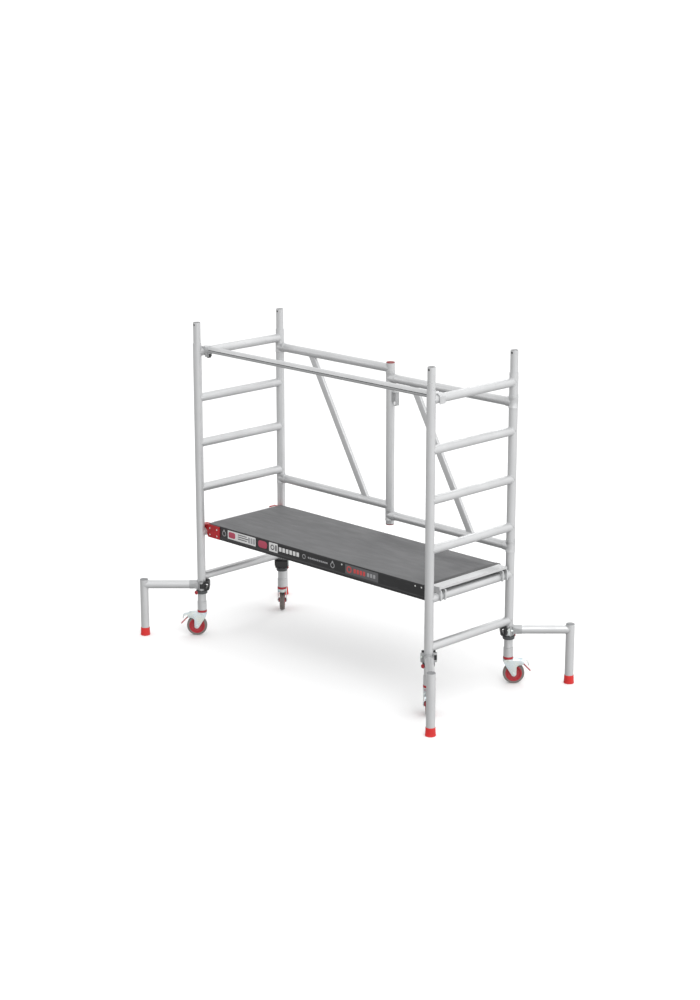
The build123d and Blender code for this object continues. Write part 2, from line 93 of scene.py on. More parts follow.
FRAME_LOW, FRAME_HIGH = span("end_frame_right")
POST_R = float(FRAME_HIGH[0] - FRAME_LOW[0]) / 2
POST_X = float(FRAME_HIGH[0] + FRAME_LOW[0]) / 2
POST_Y = float(FRAME_HIGH[1]) - POST_R
POST_LOW, POST_HIGH = float(FRAME_LOW[2]), float(FRAME_HIGH[2])
RUNG_PITCH = 280 * MM
RUNG_HEIGHTS = [381 * MM + RUNG_PITCH * step for step in range(6)]
DECK_RUNG_Z, TOP_RUNG_Z = RUNG_HEIGHTS[1], RUNG_HEIGHTS[-1]
MID_LOW, MID_HIGH = (float(corner[2]) for corner in span("mid_post"))
LEFT_GATE_LOW, LEFT_GATE_HIGH = (float(corner[2]) for corner in span("gate_left"))
RIGHT_GATE_LOW, RIGHT_GATE_HIGH = (float(corner[2]) for corner in span("gate_right"))
DECK_LOW, DECK_HIGH = span("deck_panel")
RAIL_LOW, RAIL_HIGH = span("side_rail_front")


class Corner:
    """One corner of the tower: on the floor under its post, x outward, y along the side."""

    def __init__(self, name):
        post = np.array(JOINTS[f"{name}_caster_swivel"]["pos_m"], float)
        axle = np.array(JOINTS[f"{name}_wheel_spin"]["pos_m"], float)
        brake = np.array(JOINTS[f"{name}_brake_press"]["pos_m"], float)
        out = (axle - post) * (1, 1, 0)
        self.name = name
        self.origin = post * (1, 1, 0)
        self.trail = float(np.linalg.norm(out))
        self.out = out / self.trail
        self.side = np.cross(UP, self.out)
        self.axle_z = float(axle[2])
        self.brake = (float((brake - post) @ self.out), float(brake[2]))
        self.swivel_z = float(post[2])
        pull = np.array(JOINTS[f"{name}_lock_pull"]["axis"], float)
        self.pull = np.array((pull @ self.out, pull @ self.side, 0.0))

    def place(self, points):
        """Local points (outward, along the side, up) as points of the row frame."""
        points = np.asarray(points, float)
        axes = np.stack((self.out, self.side, UP))
        return self.origin + points @ axes


# Shapes. Every function returns whole arrays of points: rows by columns by (x, y, z).


def unit(vector):
    """A vector over its length."""
    vector = np.asarray(vector, float)
    return vector / np.linalg.norm(vector)


def basis(axis):
    """Two directions square to an axis and to each other."""
    axis = unit(axis)
    helper = UP if abs(axis[2]) < 0.9 else np.array((1.0, 0.0, 0.0))
    first = unit(np.cross(helper, axis))
    return first, np.cross(axis, first)


def revolved(profile, origin, axis, segments=64):
    """A profile of (radius, distance) turned about an axis.

    point = origin + axis * distance + radius * (first * cos a + second * sin a)
    """
    profile = np.asarray(profile, float)
    axis = unit(axis)
    first, second = basis(axis)
    angle = np.linspace(0, TURN, segments, endpoint=False)
    ring = np.cos(angle)[:, None] * first + np.sin(angle)[:, None] * second
    along = np.asarray(origin, float) + profile[:, 1, None, None] * axis
    return along + profile[:, 0, None, None] * ring[None]


def saddled_tube(start, end, radius, bore, post_radius, across, saddles, segments=64):
    """Tube whose ends fit round posts: seen along the tube, a point at angle a from the
    post's direction sits sqrt(post_radius^2 - (r sin a)^2) from the post's axis.

    start and end lie on the posts' axes, across is the posts' direction, and saddles says
    which of the two ends is cut to fit. An end that is not cut is square.
    """
    start, end = np.asarray(start, float), np.asarray(end, float)
    along = unit(end - start)
    across = unit(across)
    third = np.cross(along, across)
    length = np.linalg.norm(end - start)
    angle = np.linspace(0, TURN, segments, endpoint=False)
    radii = np.array((radius, radius, radius, radius, bore, bore))
    offset = np.sqrt(np.maximum(post_radius**2 - (radii[:, None] * np.sin(angle)) ** 2, 0))
    share = np.array((0.0, 0.33, 0.67, 1.0, 1.0, 0.0))[:, None]
    near = offset if saddles[0] else np.zeros_like(offset)
    far = length - offset if saddles[1] else np.full_like(offset, length)
    distance = near + (far - near) * share
    ring = np.cos(angle)[:, None] * across + np.sin(angle)[:, None] * third
    return start + distance[..., None] * along + radii[:, None, None] * ring[None]


def fitted(profile, origin, along, across, post_radius, segments=64):
    """Turned socket on the side of a round post: a profile of (radius, distance) about a
    line, where no point at angle a from the post's direction comes nearer to the post's axis
    than sqrt(post_radius^2 - (r sin a)^2).
    """
    profile = np.asarray(profile, float)
    along, across = unit(along), unit(across)
    third = np.cross(along, across)
    angle = np.linspace(0, TURN, segments, endpoint=False)
    radius = profile[:, :1]
    seam = np.sqrt(np.maximum(post_radius**2 - (radius * np.sin(angle)) ** 2, 0))
    distance = np.maximum(profile[:, 1:], seam)
    ring = np.cos(angle)[:, None] * across + np.sin(angle)[:, None] * third
    return np.asarray(origin, float) + distance[..., None] * along + radius[..., None] * ring[None]


def weld_bead(start, along, across, tube_radius, post_radius, bead, ripples=46):
    """Bead round a tube where it meets a post: a small circle carried along the seam, and
    its radius swells a little with each ripple.
    """
    along, across = unit(along), unit(across)
    third = np.cross(along, across)
    angle = np.linspace(0, TURN, 184, endpoint=False)
    seam = np.sqrt(np.maximum(post_radius**2 - (tube_radius * np.sin(angle)) ** 2, 0))
    radial = np.cos(angle)[:, None] * across + np.sin(angle)[:, None] * third
    centre = np.asarray(start) + seam[:, None] * along + tube_radius * radial
    turn = np.linspace(0, TURN, 10, endpoint=False)[:, None, None]
    thick = bead * (1 + 0.14 * np.sin(ripples * angle))[None, :, None]
    return centre[None] + thick * (np.cos(turn) * radial[None] + np.sin(turn) * along)


def rounded_outline(corners, radius, steps=5):
    """Closed outline whose corners are rounded: between two points on its sides, each a
    radius from the corner, runs the parabola (1-s)^2 P0 + 2 s (1-s) V + s^2 P2.
    """
    corners = np.asarray(corners, float)
    back = np.roll(corners, 1, 0) - corners
    ahead = np.roll(corners, -1, 0) - corners
    back_length = np.linalg.norm(back, axis=1, keepdims=True)
    ahead_length = np.linalg.norm(ahead, axis=1, keepdims=True)
    reach = np.minimum(radius, 0.49 * np.minimum(back_length, ahead_length))
    first = (corners + back / back_length * reach)[:, None]
    last = (corners + ahead / ahead_length * reach)[:, None]
    s = np.linspace(0, 1, steps)[None, :, None]
    curve = (1 - s) ** 2 * first + 2 * s * (1 - s) * corners[:, None] + s * s * last
    return curve.reshape(-1, 2)


def inset(outline, amount):
    """Outline moved inwards along the mean normal of the two sides at each point."""
    side = np.roll(outline, -1, 0) - outline
    area = np.sum(outline[:, 0] * np.roll(outline[:, 1], -1) - outline[:, 1] * np.roll(outline[:, 0], -1))
    normal = np.stack((side[:, 1], -side[:, 0]), 1) * np.sign(area)
    normal /= np.maximum(np.linalg.norm(normal, axis=1, keepdims=True), 1e-12)
    mean = normal + np.roll(normal, 1, 0)
    mean /= np.maximum(np.linalg.norm(mean, axis=1, keepdims=True), 1e-12)
    return outline - mean * amount


def slab(outline, low, high, edge):
    """Plate from one level to another with its edges rounded by `edge`.

    Rows are the outline, inset by edge * (1 - sin t) at a height edge * (1 - cos t) inside
    each face, for t from 0 to a right angle. Columns are (a, b, level).
    """
    t = np.linspace(0, math.pi / 2, 4)
    insets = np.concatenate((edge * (1 - np.sin(t)), edge * (1 - np.sin(t[::-1]))))
    levels = np.concatenate((low + edge * (1 - np.cos(t)), high - edge * (1 - np.cos(t[::-1]))))
    rows = [inset(outline, amount) if amount > 1e-9 else outline for amount in insets]
    grid = np.stack(rows)
    height = np.broadcast_to(levels[:, None, None], (*grid.shape[:2], 1))
    return np.concatenate((grid, height), 2)


def upright_xz(grid):
    """Turn a slab's (a, b, level) into (x, y, z) = (a, level, b)."""
    return grid[..., (0, 2, 1)]


def arc(centre, radius, start, end, steps=14):
    """Points of a circular arc between two angles in degrees."""
    angle = np.radians(np.linspace(start, end, steps))
    return np.stack((centre[0] + radius * np.cos(angle), centre[1] + radius * np.sin(angle)), 1)


def swept_strip(path, half_width, thickness):
    """Bent strip in the x-z plane, of a width along y: the path moved half a thickness to
    each side along its normal, and closed round both ends.
    """
    path = np.asarray(path, float)
    step = np.gradient(path, axis=0)
    normal = np.stack((-step[:, 1], step[:, 0]), 1)
    normal /= np.linalg.norm(normal, axis=1, keepdims=True)
    outline = np.concatenate((path + normal * thickness / 2, (path - normal * thickness / 2)[::-1]))
    return upright_xz(slab(outline, -half_width, half_width, thickness * 0.3))


def bezier_path(points, steps=8):
    """Smooth path through a few bends: straight legs joined by parabolic corners."""
    points = np.asarray(points, float)
    middle = (points[1:] + points[:-1]) / 2
    s = np.linspace(0, 1, steps, endpoint=False)[None, :, None]
    inner = (1 - s) ** 2 * middle[:-1, None] + 2 * s * (1 - s) * points[1:-1, None] + s * s * middle[1:, None]
    return np.concatenate((points[:1], inner.reshape(-1, 2), middle[-1:], points[-1:]))


def bar_grid(low, high, edge, axis=0):
    """Square-edged bar between two corners with rounded edges along an axis."""
    low, high = np.asarray(low, float), np.asarray(high, float)
    others = [index for index in range(3) if index != axis]
    a, b = others
    corners = [(low[a], low[b]), (high[a], low[b]), (high[a], high[b]), (low[a], high[b])]
    grid = slab(rounded_outline(corners, edge * 2, 4), low[axis], high[axis], edge)
    order = np.argsort((*others, axis))
    return grid[..., order]


# Meshes.


class Shells:
    """Gathers grids of points into one mesh with a UV map in metres."""

    def __init__(self):
        self.points, self.faces, self.uvs, self.caps, self.count = [], [], [], [], 0

    def add(self, grid, close_rows=False, caps=True):
        """Add a grid whose columns close on themselves. Its rows close, end in caps or stay open."""
        rows, columns = grid.shape[:2]
        row_count = rows if close_rows else rows - 1
        i, j = np.meshgrid(np.arange(row_count), np.arange(columns), indexing="ij")

        def index(di, dj):
            return ((i + di) % rows) * columns + (j + dj) % columns

        across = np.linalg.norm(np.roll(grid, -1, 1) - grid, axis=2).max(0)
        down = np.linalg.norm(np.roll(grid, -1, 0) - grid, axis=2).mean(1)
        u = np.concatenate(((0.0,), np.cumsum(across)))
        v = np.concatenate(((0.0,), np.cumsum(down)))
        corners = ((0, 0), (0, 1), (1, 1), (1, 0))
        self.faces.append(self.count + np.stack([index(*c) for c in corners], -1).reshape(-1, 4))
        self.uvs.append(np.stack([np.stack((u[j + dj], v[i + di]), -1) for di, dj in corners], 2).reshape(-1, 2))
        if caps and not close_rows:
            for row in (0, rows - 1):
                width = np.ptp(grid[row].reshape(-1, 3), axis=0).max()
                if width > 1e-6:
                    self.caps.append(self.count + row * columns + np.arange(columns))
        self.points.append(grid.reshape(-1, 3))
        self.count += rows * columns
        return self

    def piece(self, name, material, body, replaces=(), slot=None, crease=35.0):
        """Make the object: doubles merged, faces outwards, smooth but for creases."""
        mesh = bpy.data.meshes.new(name)
        faces = np.concatenate(self.faces).tolist() + [cap.tolist() for cap in self.caps]
        points = np.concatenate(self.points)
        mesh.from_pydata(points.tolist(), [], faces)
        layer = mesh.uv_layers.new(name="metres")
        flat = np.concatenate(self.uvs)
        rest = points[np.concatenate(self.caps)][:, :2] if self.caps else np.zeros((0, 2))
        layer.data.foreach_set("uv", np.concatenate((flat, rest)).astype(np.float32).ravel())
        work = bmesh.new()
        work.from_mesh(mesh)
        bmesh.ops.remove_doubles(work, verts=work.verts, dist=2e-7)
        bmesh.ops.dissolve_degenerate(work, edges=work.edges, dist=1e-8)
        bmesh.ops.recalc_face_normals(work, faces=work.faces)
        work.to_mesh(mesh)
        work.free()
        mesh.shade_smooth()
        mesh.set_sharp_from_angle(angle=math.radians(crease))
        mesh.materials.append(material)
        made = bpy.data.objects.new(name, mesh)
        bpy.context.scene.collection.objects.link(made)
        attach(made, body)
        if replaces:
            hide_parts(*replaces)
        return made


def rod_shell(shells, start, end, radius, edge=0.6 * MM, segments=48):
    """Add a round bar with broken edges."""
    start, end = np.asarray(start, float), np.asarray(end, float)
    length = np.linalg.norm(end - start)
    profile = [(0, 0), (radius - edge, 0), (radius, edge), (radius, length - edge), (radius - edge, length), (0, length)]
    return shells.add(revolved(profile, start, end - start, segments))


def tube_shell(shells, start, end, radius, bore, segments=64):
    """Add a round tube with a wall and broken edges."""
    start, end = np.asarray(start, float), np.asarray(end, float)
    length = np.linalg.norm(end - start)
    edge = 0.5 * MM
    profile = [(radius, edge), (radius, length - edge), (radius - edge, length), (bore + edge, length)]
    profile += [(bore, length - edge), (bore, edge), (bore + edge, 0), (radius - edge, 0)]
    return shells.add(revolved(profile, start, end - start, segments), close_rows=True)


# Materials.


class Finish:
    """A node material under construction: its Principled shader and a few common nodes."""

    def __init__(self, name, colour, roughness, metallic=0.0):
        self.material = bpy.data.materials.new(name)
        self.material.use_nodes = True
        self.tree = self.material.node_tree
        self.shader = self.tree.nodes["Principled BSDF"]
        self.shader.inputs["Metallic"].default_value = metallic
        self.shader.inputs["Roughness"].default_value = roughness
        self.shader.inputs["Base Color"].default_value = (*colour, 1)
        self.colour = colour
        self.coordinates = self.tree.nodes.new("ShaderNodeTexCoord")
        self.material.diffuse_color = (*colour, 1)

    def link(self, source, target):
        """Join two sockets."""
        self.tree.links.new(source, target)

    def mapped(self, scale, space="Object", rotation=(0, 0, 0)):
        """Coordinates stretched by a scale for each axis."""
        node = self.tree.nodes.new("ShaderNodeMapping")
        node.inputs["Scale"].default_value = scale
        node.inputs["Rotation"].default_value = rotation
        self.link(self.coordinates.outputs[space], node.inputs["Vector"])
        return node.outputs["Vector"]

    def noise(self, scale, detail=3.0, stretch=(1, 1, 1), space="Object"):
        """Noise of a scale on stretched coordinates."""
        node = self.tree.nodes.new("ShaderNodeTexNoise")
        node.inputs["Scale"].default_value = scale
        node.inputs["Detail"].default_value = detail
        self.link(self.mapped(stretch, space), node.inputs["Vector"])
        return node.outputs["Fac"]

    def ranged(self, value, low, high, from_low=0.3, from_high=0.7):
        """Map a value to a range, clamped."""
        node = self.tree.nodes.new("ShaderNodeMapRange")
        node.inputs["From Min"].default_value = from_low
        node.inputs["From Max"].default_value = from_high
        node.inputs["To Min"].default_value = low
        node.inputs["To Max"].default_value = high
        self.link(value, node.inputs["Value"])
        return node.outputs["Result"]

    def mixed(self, factor, first, second):
        """Mix two colours, each a triple or a socket, by a value."""
        node = self.tree.nodes.new("ShaderNodeMix")
        node.data_type = "RGBA"
        inlets = {socket.identifier: socket for socket in node.inputs}
        self.link(factor, inlets["Factor_Float"])
        for source, target in ((first, inlets["A_Color"]), (second, inlets["B_Color"])):
            if isinstance(source, bpy.types.NodeSocket):
                self.link(source, target)
            else:
                target.default_value = (*source, 1)
        return next(out for out in node.outputs if out.identifier == "Result_Color")

    def shade(self, share):
        """The finish's own colour, darker below 1 and lighter above it."""
        return tuple(min(channel * share, 1.0) for channel in self.colour)

    def paint(self, socket):
        """Use a colour socket as the base colour."""
        self.link(socket, self.shader.inputs["Base Color"])

    def rough(self, socket):
        """Use a value socket as the roughness."""
        self.link(socket, self.shader.inputs["Roughness"])

    def bump(self, *heights):
        """Chain bumps of (height socket, strength, distance in metres)."""
        previous = None
        for height, strength, distance in heights:
            node = self.tree.nodes.new("ShaderNodeBump")
            node.inputs["Strength"].default_value = strength
            node.inputs["Distance"].default_value = distance
            self.link(height, node.inputs["Height"])
            if previous is not None:
                self.link(previous, node.inputs["Normal"])
            previous = node.outputs["Normal"]
        self.link(previous, self.shader.inputs["Normal"])


def drawn_metal(name, colour, roughness=0.44, stretch=(900, 9, 1), space="UV"):
    """Extruded tube: long fine die lines, a cloudy oxide film and a few handling marks."""
    finish = Finish(name, colour, roughness, metallic=0.62)
    lines = finish.noise(1.0, 2.0, stretch, space)
    cloud = finish.noise(7.0, 4.0)
    marks = finish.noise(60.0, 5.0, (1, 1, 0.35))
    tone = finish.mixed(finish.ranged(lines, 0, 1), finish.shade(0.93), finish.shade(1.05))
    tone = finish.mixed(finish.ranged(cloud, 0, 0.45), tone, finish.shade(0.86))
    tone = finish.mixed(finish.ranged(marks, 0, 0.35, 0.62, 0.78), tone, finish.shade(0.7))
    finish.paint(tone)
    finish.rough(finish.ranged(cloud, roughness - 0.07, roughness + 0.09))
    finish.bump((lines, 0.12, 0.1 * MM), (marks, 0.05, 0.1 * MM))
    return finish.material


def cast_metal(name, colour, roughness=0.55, metallic=0.6):
    """Casting: sandy grain, soft blotches and small pits."""
    finish = Finish(name, colour, roughness, metallic)
    grain = finish.noise(900.0, 3.0)
    blotch = finish.noise(35.0, 4.0)
    pits = finish.noise(260.0, 5.0)
    tone = finish.mixed(finish.ranged(blotch, 0, 1), finish.shade(0.85), finish.shade(1.08))
    tone = finish.mixed(finish.ranged(pits, 0, 0.5, 0.6, 0.75), tone, finish.shade(0.55))
    finish.paint(tone)
    finish.rough(finish.ranged(blotch, roughness - 0.08, roughness + 0.1))
    finish.bump((grain, 0.25, 0.15 * MM), (pits, 0.2, 0.3 * MM))
    return finish.material


def zinc_plate(name, colour):
    """Bright zinc plating: blue and straw clouds over rolled steel, with faint rolling lines."""
    finish = Finish(name, colour, 0.3, metallic=0.85)
    cloud = finish.noise(18.0, 3.0)
    lines = finish.noise(1.0, 2.0, (40, 40, 900))
    spangle = finish.noise(420.0, 3.0)
    blue = (colour[0] * 0.93, colour[1] * 1.0, min(colour[2] * 1.06, 1.0))
    straw = (colour[0], colour[1] * 0.98, colour[2] * 0.88)
    tone = finish.mixed(finish.ranged(cloud, 0, 1), blue, straw)
    tone = finish.mixed(finish.ranged(spangle, 0, 0.3), tone, finish.shade(0.8))
    finish.paint(tone)
    finish.rough(finish.ranged(spangle, 0.24, 0.42))
    finish.bump((lines, 0.08, 0.1 * MM), (spangle, 0.06, 0.1 * MM))
    return finish.material


def moulded(name, colour, roughness=0.42, grain=1400.0, wear=1.35):
    """Moulded plastic or rubber: fine spark-eroded grain, dust in the hollows, scuffs."""
    finish = Finish(name, colour, roughness)
    texture = finish.noise(grain, 2.0)
    cloud = finish.noise(25.0, 4.0)
    scuffs = finish.noise(120.0, 6.0, (1, 1, 0.3))
    tone = finish.mixed(finish.ranged(cloud, 0, 1), finish.shade(0.88), finish.shade(1.1))
    tone = finish.mixed(finish.ranged(scuffs, 0, 0.4, 0.6, 0.8), tone, finish.shade(wear))
    finish.paint(tone)
    finish.rough(finish.ranged(cloud, roughness - 0.05, roughness + 0.1))
    finish.bump((texture, 0.15, 0.1 * MM), (scuffs, 0.05, 0.1 * MM))
    return finish.material


def powder_coat(name, colour, roughness=0.4):
    """Powder coat: the soft ripple of orange peel, fine sparkle and rubbed marks."""
    finish = Finish(name, colour, roughness)
    peel = finish.noise(520.0, 1.0)
    cloud = finish.noise(6.0, 4.0)
    rubs = finish.noise(90.0, 6.0, (0.15, 1, 1))
    tone = finish.mixed(finish.ranged(cloud, 0, 1), finish.shade(0.85), finish.shade(1.2))
    tone = finish.mixed(finish.ranged(rubs, 0, 0.25, 0.62, 0.8), tone, (0.16, 0.16, 0.165))
    finish.paint(tone)
    finish.rough(finish.ranged(cloud, roughness - 0.06, roughness + 0.08))
    finish.bump((peel, 0.2, 0.12 * MM))
    return finish.material


def enamel(name, colour, roughness=0.33):
    """Glossy paint on a casting: slight orange peel, deeper colour in the clouds."""
    finish = Finish(name, colour, roughness)
    peel = finish.noise(600.0, 1.0)
    cloud = finish.noise(40.0, 3.0)
    chips = finish.noise(210.0, 5.0)
    tone = finish.mixed(finish.ranged(cloud, 0, 1), finish.shade(0.8), finish.shade(1.12))
    tone = finish.mixed(finish.ranged(chips, 0, 0.5, 0.7, 0.8), tone, finish.shade(0.45))
    finish.paint(tone)
    finish.rough(finish.ranged(cloud, roughness - 0.05, roughness + 0.08))
    finish.bump((peel, 0.18, 0.12 * MM))
    return finish.material


def deck_board(name, colour):
    """Film-faced board: a fine wire-mesh imprint, mottled film and foot scuffs."""
    finish = Finish(name, colour, 0.55)
    tree = finish.tree
    waves = []
    for turn in (math.radians(45), math.radians(-45)):
        wave = tree.nodes.new("ShaderNodeTexWave")
        wave.wave_type = "BANDS"
        wave.bands_direction = "X"
        wave.inputs["Scale"].default_value = 1.0
        finish.link(finish.mapped((52, 52, 1), rotation=(0, 0, turn)), wave.inputs["Vector"])
        waves.append(wave.outputs["Fac"])
    mesh = tree.nodes.new("ShaderNodeMath")
    mesh.operation = "MAXIMUM"
    finish.link(waves[0], mesh.inputs[0])
    finish.link(waves[1], mesh.inputs[1])
    cloud = finish.noise(5.0, 5.0)
    specks = finish.noise(700.0, 2.0)
    scuffs = finish.noise(30.0, 8.0, (0.25, 1, 1))
    tone = finish.mixed(finish.ranged(cloud, 0, 1), finish.shade(0.96), finish.shade(1.03))
    tone = finish.mixed(finish.ranged(specks, 0, 0.4, 0.55, 0.75), tone, finish.shade(1.2))
    tone = finish.mixed(finish.ranged(scuffs, 0, 0.3, 0.6, 0.8), tone, finish.shade(1.15))
    finish.paint(tone)
    finish.rough(finish.ranged(scuffs, 0.48, 0.66))
    finish.bump((mesh.outputs[0], 0.35, 0.3 * MM), (specks, 0.1, 0.1 * MM))
    return finish.material


def print_ink(name, colour, roughness=0.45):
    """Printed film: a faint ink mottle and a slight edge-to-edge haze."""
    finish = Finish(name, colour, roughness)
    mottle = finish.noise(240.0, 4.0)
    haze = finish.noise(9.0, 3.0)
    tone = finish.mixed(finish.ranged(mottle, 0, 1), finish.shade(0.92), finish.shade(1.04))
    tone = finish.mixed(finish.ranged(haze, 0, 0.3), tone, finish.shade(0.85))
    finish.paint(tone)
    finish.rough(finish.ranged(haze, roughness - 0.08, roughness + 0.08))
    finish.bump((mottle, 0.05, 0.05 * MM))
    return finish.material


MATERIALS = {}


def make_materials(colours):
    """Make every finish once."""
    MATERIALS.update(
        tube=drawn_metal("drawn_tube", colours.tube),
        gate=drawn_metal("gate_tube", colours.tube, 0.4),
        turned=drawn_metal("turned_collar", colours.tube, 0.34, (9, 900, 1)),
        spigot=drawn_metal("spigot_tube", colours.tube, 0.33, (300, 300, 4), "Object"),
        profile=drawn_metal("end_profile", colours.tube, 0.36, (300, 4, 300), "Object"),
        crossbar=drawn_metal("box_bar", colours.tube, 0.45, (300, 4, 300), "Object"),
        weld=cast_metal("weld_metal", colours.tube, 0.48, 0.8),
        sleeve=cast_metal("sleeve_casting", colours.tube, 0.48, 0.7),
        casting=cast_metal("gate_casting", colours.casting),
        clamp=cast_metal("clamp_casting", colours.casting, 0.5),
        zinc=zinc_plate("zinc_plate", colours.zinc),
        black=moulded("black_latch", colours.black, 0.38),
        grey=moulded("grey_band", colours.grey, 0.45),
        plug=moulded("grey_plug", colours.plug, 0.5),
        red=moulded("red_knob", colours.red, 0.32),
        core=moulded("wheel_core", colours.core, 0.33),
        foot=moulded("rubber_foot", colours.foot, 0.5, 900.0),
        tyre=moulded("tyre", colours.tyre, 0.6, 700.0),
        cap=moulded("red_cap", colours.cap, 0.45),
        rail=powder_coat("rail_coat", colours.rail),
        claw=enamel("claw_enamel", colours.claw),
        board=deck_board("deck_board", colours.board),
        rivet=zinc_plate("rivet_metal", (0.85, 0.85, 0.85)),
        ink_white=print_ink("ink_white", (0.62, 0.62, 0.62)),
        ink_grey=print_ink("ink_grey", (0.09, 0.09, 0.095)),
        ink_mid=print_ink("ink_mid", (0.30, 0.30, 0.31)),
        ink_red=print_ink("ink_red", (0.50, 0.05, 0.05)),
        ink_pink=print_ink("ink_pink", (0.38, 0.05, 0.09)),
    )


# Settings.


class TowerSizes(bpy.types.PropertyGroup):
    """Sizes that a user may change without leaving the frame."""

    rung_radius: FloatProperty(name="Rung radius", description="Outer radius of rungs and rails", default=25.2 * MM, unit="LENGTH")
    wall: FloatProperty(name="Tube wall", description="Wall thickness of the tubes", default=2.6 * MM, unit="LENGTH")
    weld_radius: FloatProperty(name="Weld bead", description="Radius of the weld beads", default=2.2 * MM, unit="LENGTH")
    guard_radius: FloatProperty(name="Guard radius", description="Outer radius of the guard tube", default=20 * MM, unit="LENGTH")
    tread_grooves: IntProperty(name="Tread grooves", description="Moulding lines round a tyre", default=2, min=0, max=6)


def colour_property(name, default):
    """A colour setting of one finish."""
    return FloatVectorProperty(name=name, description=f"Colour of the {name.lower()}", default=default, subtype="COLOR", size=3, min=0, max=1)


class TowerColours(bpy.types.PropertyGroup):
    """Colours of the finishes, linear."""

    tube: colour_property("Tube metal", (0.58, 0.585, 0.59))
    casting: colour_property("Castings", (0.42, 0.425, 0.43))
    zinc: colour_property("Zinc plating", (0.72, 0.76, 0.77))
    black: colour_property("Black latches", (0.012, 0.012, 0.013))
    grey: colour_property("Grey bands", (0.06, 0.063, 0.066))
    plug: colour_property("Tube plugs", (0.2, 0.205, 0.21))
    red: colour_property("Red knobs", (0.36, 0.012, 0.02))
    core: colour_property("Wheel cores", (0.40, 0.02, 0.03))
    foot: colour_property("Rubber feet", (0.60, 0.016, 0.015))
    tyre: colour_property("Tyres", (0.17, 0.145, 0.135))
    cap: colour_property("Post caps", (0.22, 0.02, 0.02))
    rail: colour_property("Side rails", (0.011, 0.011, 0.012))
    claw: colour_property("Red claws", (0.38, 0.006, 0.01))
    board: colour_property("Deck board", (0.104, 0.105, 0.108))


class TowerStage(bpy.types.PropertyGroup):
    """Camera and light."""

    azimuth: FloatProperty(name="Azimuth", description="Camera direction round the tower", default=math.radians(45), subtype="ANGLE")
    elevation: FloatProperty(name="Elevation", description="Camera height angle", default=math.radians(15), subtype="ANGLE")
    distance: FloatProperty(name="Distance", description="Camera to the tower's middle", default=12.22, unit="LENGTH")
    lens: FloatProperty(name="Lens", description="Focal length in millimetres", default=74.73)
    sky: FloatProperty(name="Sky", description="Brightness of the plain sky", default=1.0, min=0)
    key: FloatProperty(name="Lamps", description="Share of the lamps' power", default=0.3, min=0)
    floor_tone: FloatProperty(name="Floor tone", description="Brightness of the floor", default=0.9, subtype="FACTOR", min=0, max=1)


# Posts, rungs and gates.


def post_profile(low, high, bore):
    """Profile of a post: turned grip rings round its lower end, broken edges at both ends."""
    edge, ring_pitch, ring_depth = 0.6 * MM, 6 * MM, 0.7 * MM
    rings = []
    for count in range(7):
        z = low + 5 * MM + ring_pitch * count
        rings += [(POST_R, z), (POST_R - ring_depth, z + 0.8 * MM)]
        rings += [(POST_R - ring_depth, z + 1.6 * MM), (POST_R, z + 2.4 * MM)]
    profile = [(POST_R - edge, low), (POST_R, low + edge), *rings]
    profile += [(POST_R, high - edge), (POST_R - edge, high), (bore + edge, high), (bore, high - edge)]
    return profile + [(bore, low + edge), (bore + edge, low)]


def make_end_frame(side, sizes):
    """Posts, rungs and weld beads of one end frame."""
    x = SIDES[side] * POST_X
    node = f"end_frame_{side}"
    posts, rungs, welds = Shells(), Shells(), Shells()
    for end in (-1, 1):
        foot = (x, end * POST_Y, 0)
        posts.add(revolved(post_profile(POST_LOW, POST_HIGH, POST_R - 3.2 * MM), foot, UP), close_rows=True)
    for z in RUNG_HEIGHTS:
        ends = np.array(((x, -POST_Y, z), (x, POST_Y, z)))
        bore = sizes.rung_radius - sizes.wall
        rungs.add(saddled_tube(*ends, sizes.rung_radius, bore, POST_R, UP, (True, True)), close_rows=True)
        for start, along in ((ends[0], (0, 1, 0)), (ends[1], (0, -1, 0))):
            bead = weld_bead(start, along, UP, sizes.rung_radius, POST_R, sizes.weld_radius)
            welds.add(bead, close_rows=True)
    posts.piece(f"{side}_frame_posts", MATERIALS["tube"], "tower", [node], "frame_tube")
    rungs.piece(f"{side}_frame_rungs", MATERIALS["tube"], "tower", [node], "frame_tube")
    welds.piece(f"{side}_frame_welds", MATERIALS["weld"], "tower", [node], "frame_tube", 60)


def hinge_casting(shells, x, z, toward, half_height):
    """Add a hinge sleeve and the flared socket that holds a rail."""
    sleeve_r, edge = 28.0 * MM, 1.0 * MM
    bore = POST_R + 0.15 * MM
    profile = [(bore, -half_height), (sleeve_r - edge, -half_height), (sleeve_r, edge - half_height)]
    profile += [(sleeve_r, -half_height + 7 * MM), (sleeve_r - 0.8 * MM, -half_height + 9 * MM)]
    profile += [(sleeve_r - 0.8 * MM, half_height - 9 * MM), (sleeve_r, half_height - 7 * MM)]
    profile += [(sleeve_r, half_height - edge), (sleeve_r - edge, half_height), (bore, half_height)]
    centre = np.array((x, POST_Y, z))
    shells.add(revolved(profile, centre, UP), close_rows=True)
    along = np.array((toward, 0.0, 0.0))
    flare = [(25.3 * MM, 0), (28.5 * MM, 0), (28.5 * MM, 30 * MM), (27.8 * MM, 36 * MM)]
    flare += [(27.8 * MM, 46 * MM), (27.0 * MM, 48 * MM), (26.4 * MM, 49 * MM), (25.3 * MM, 49 * MM)]
    shells.add(fitted(flare, centre, along, UP, POST_R + 1.6 * MM), close_rows=True)


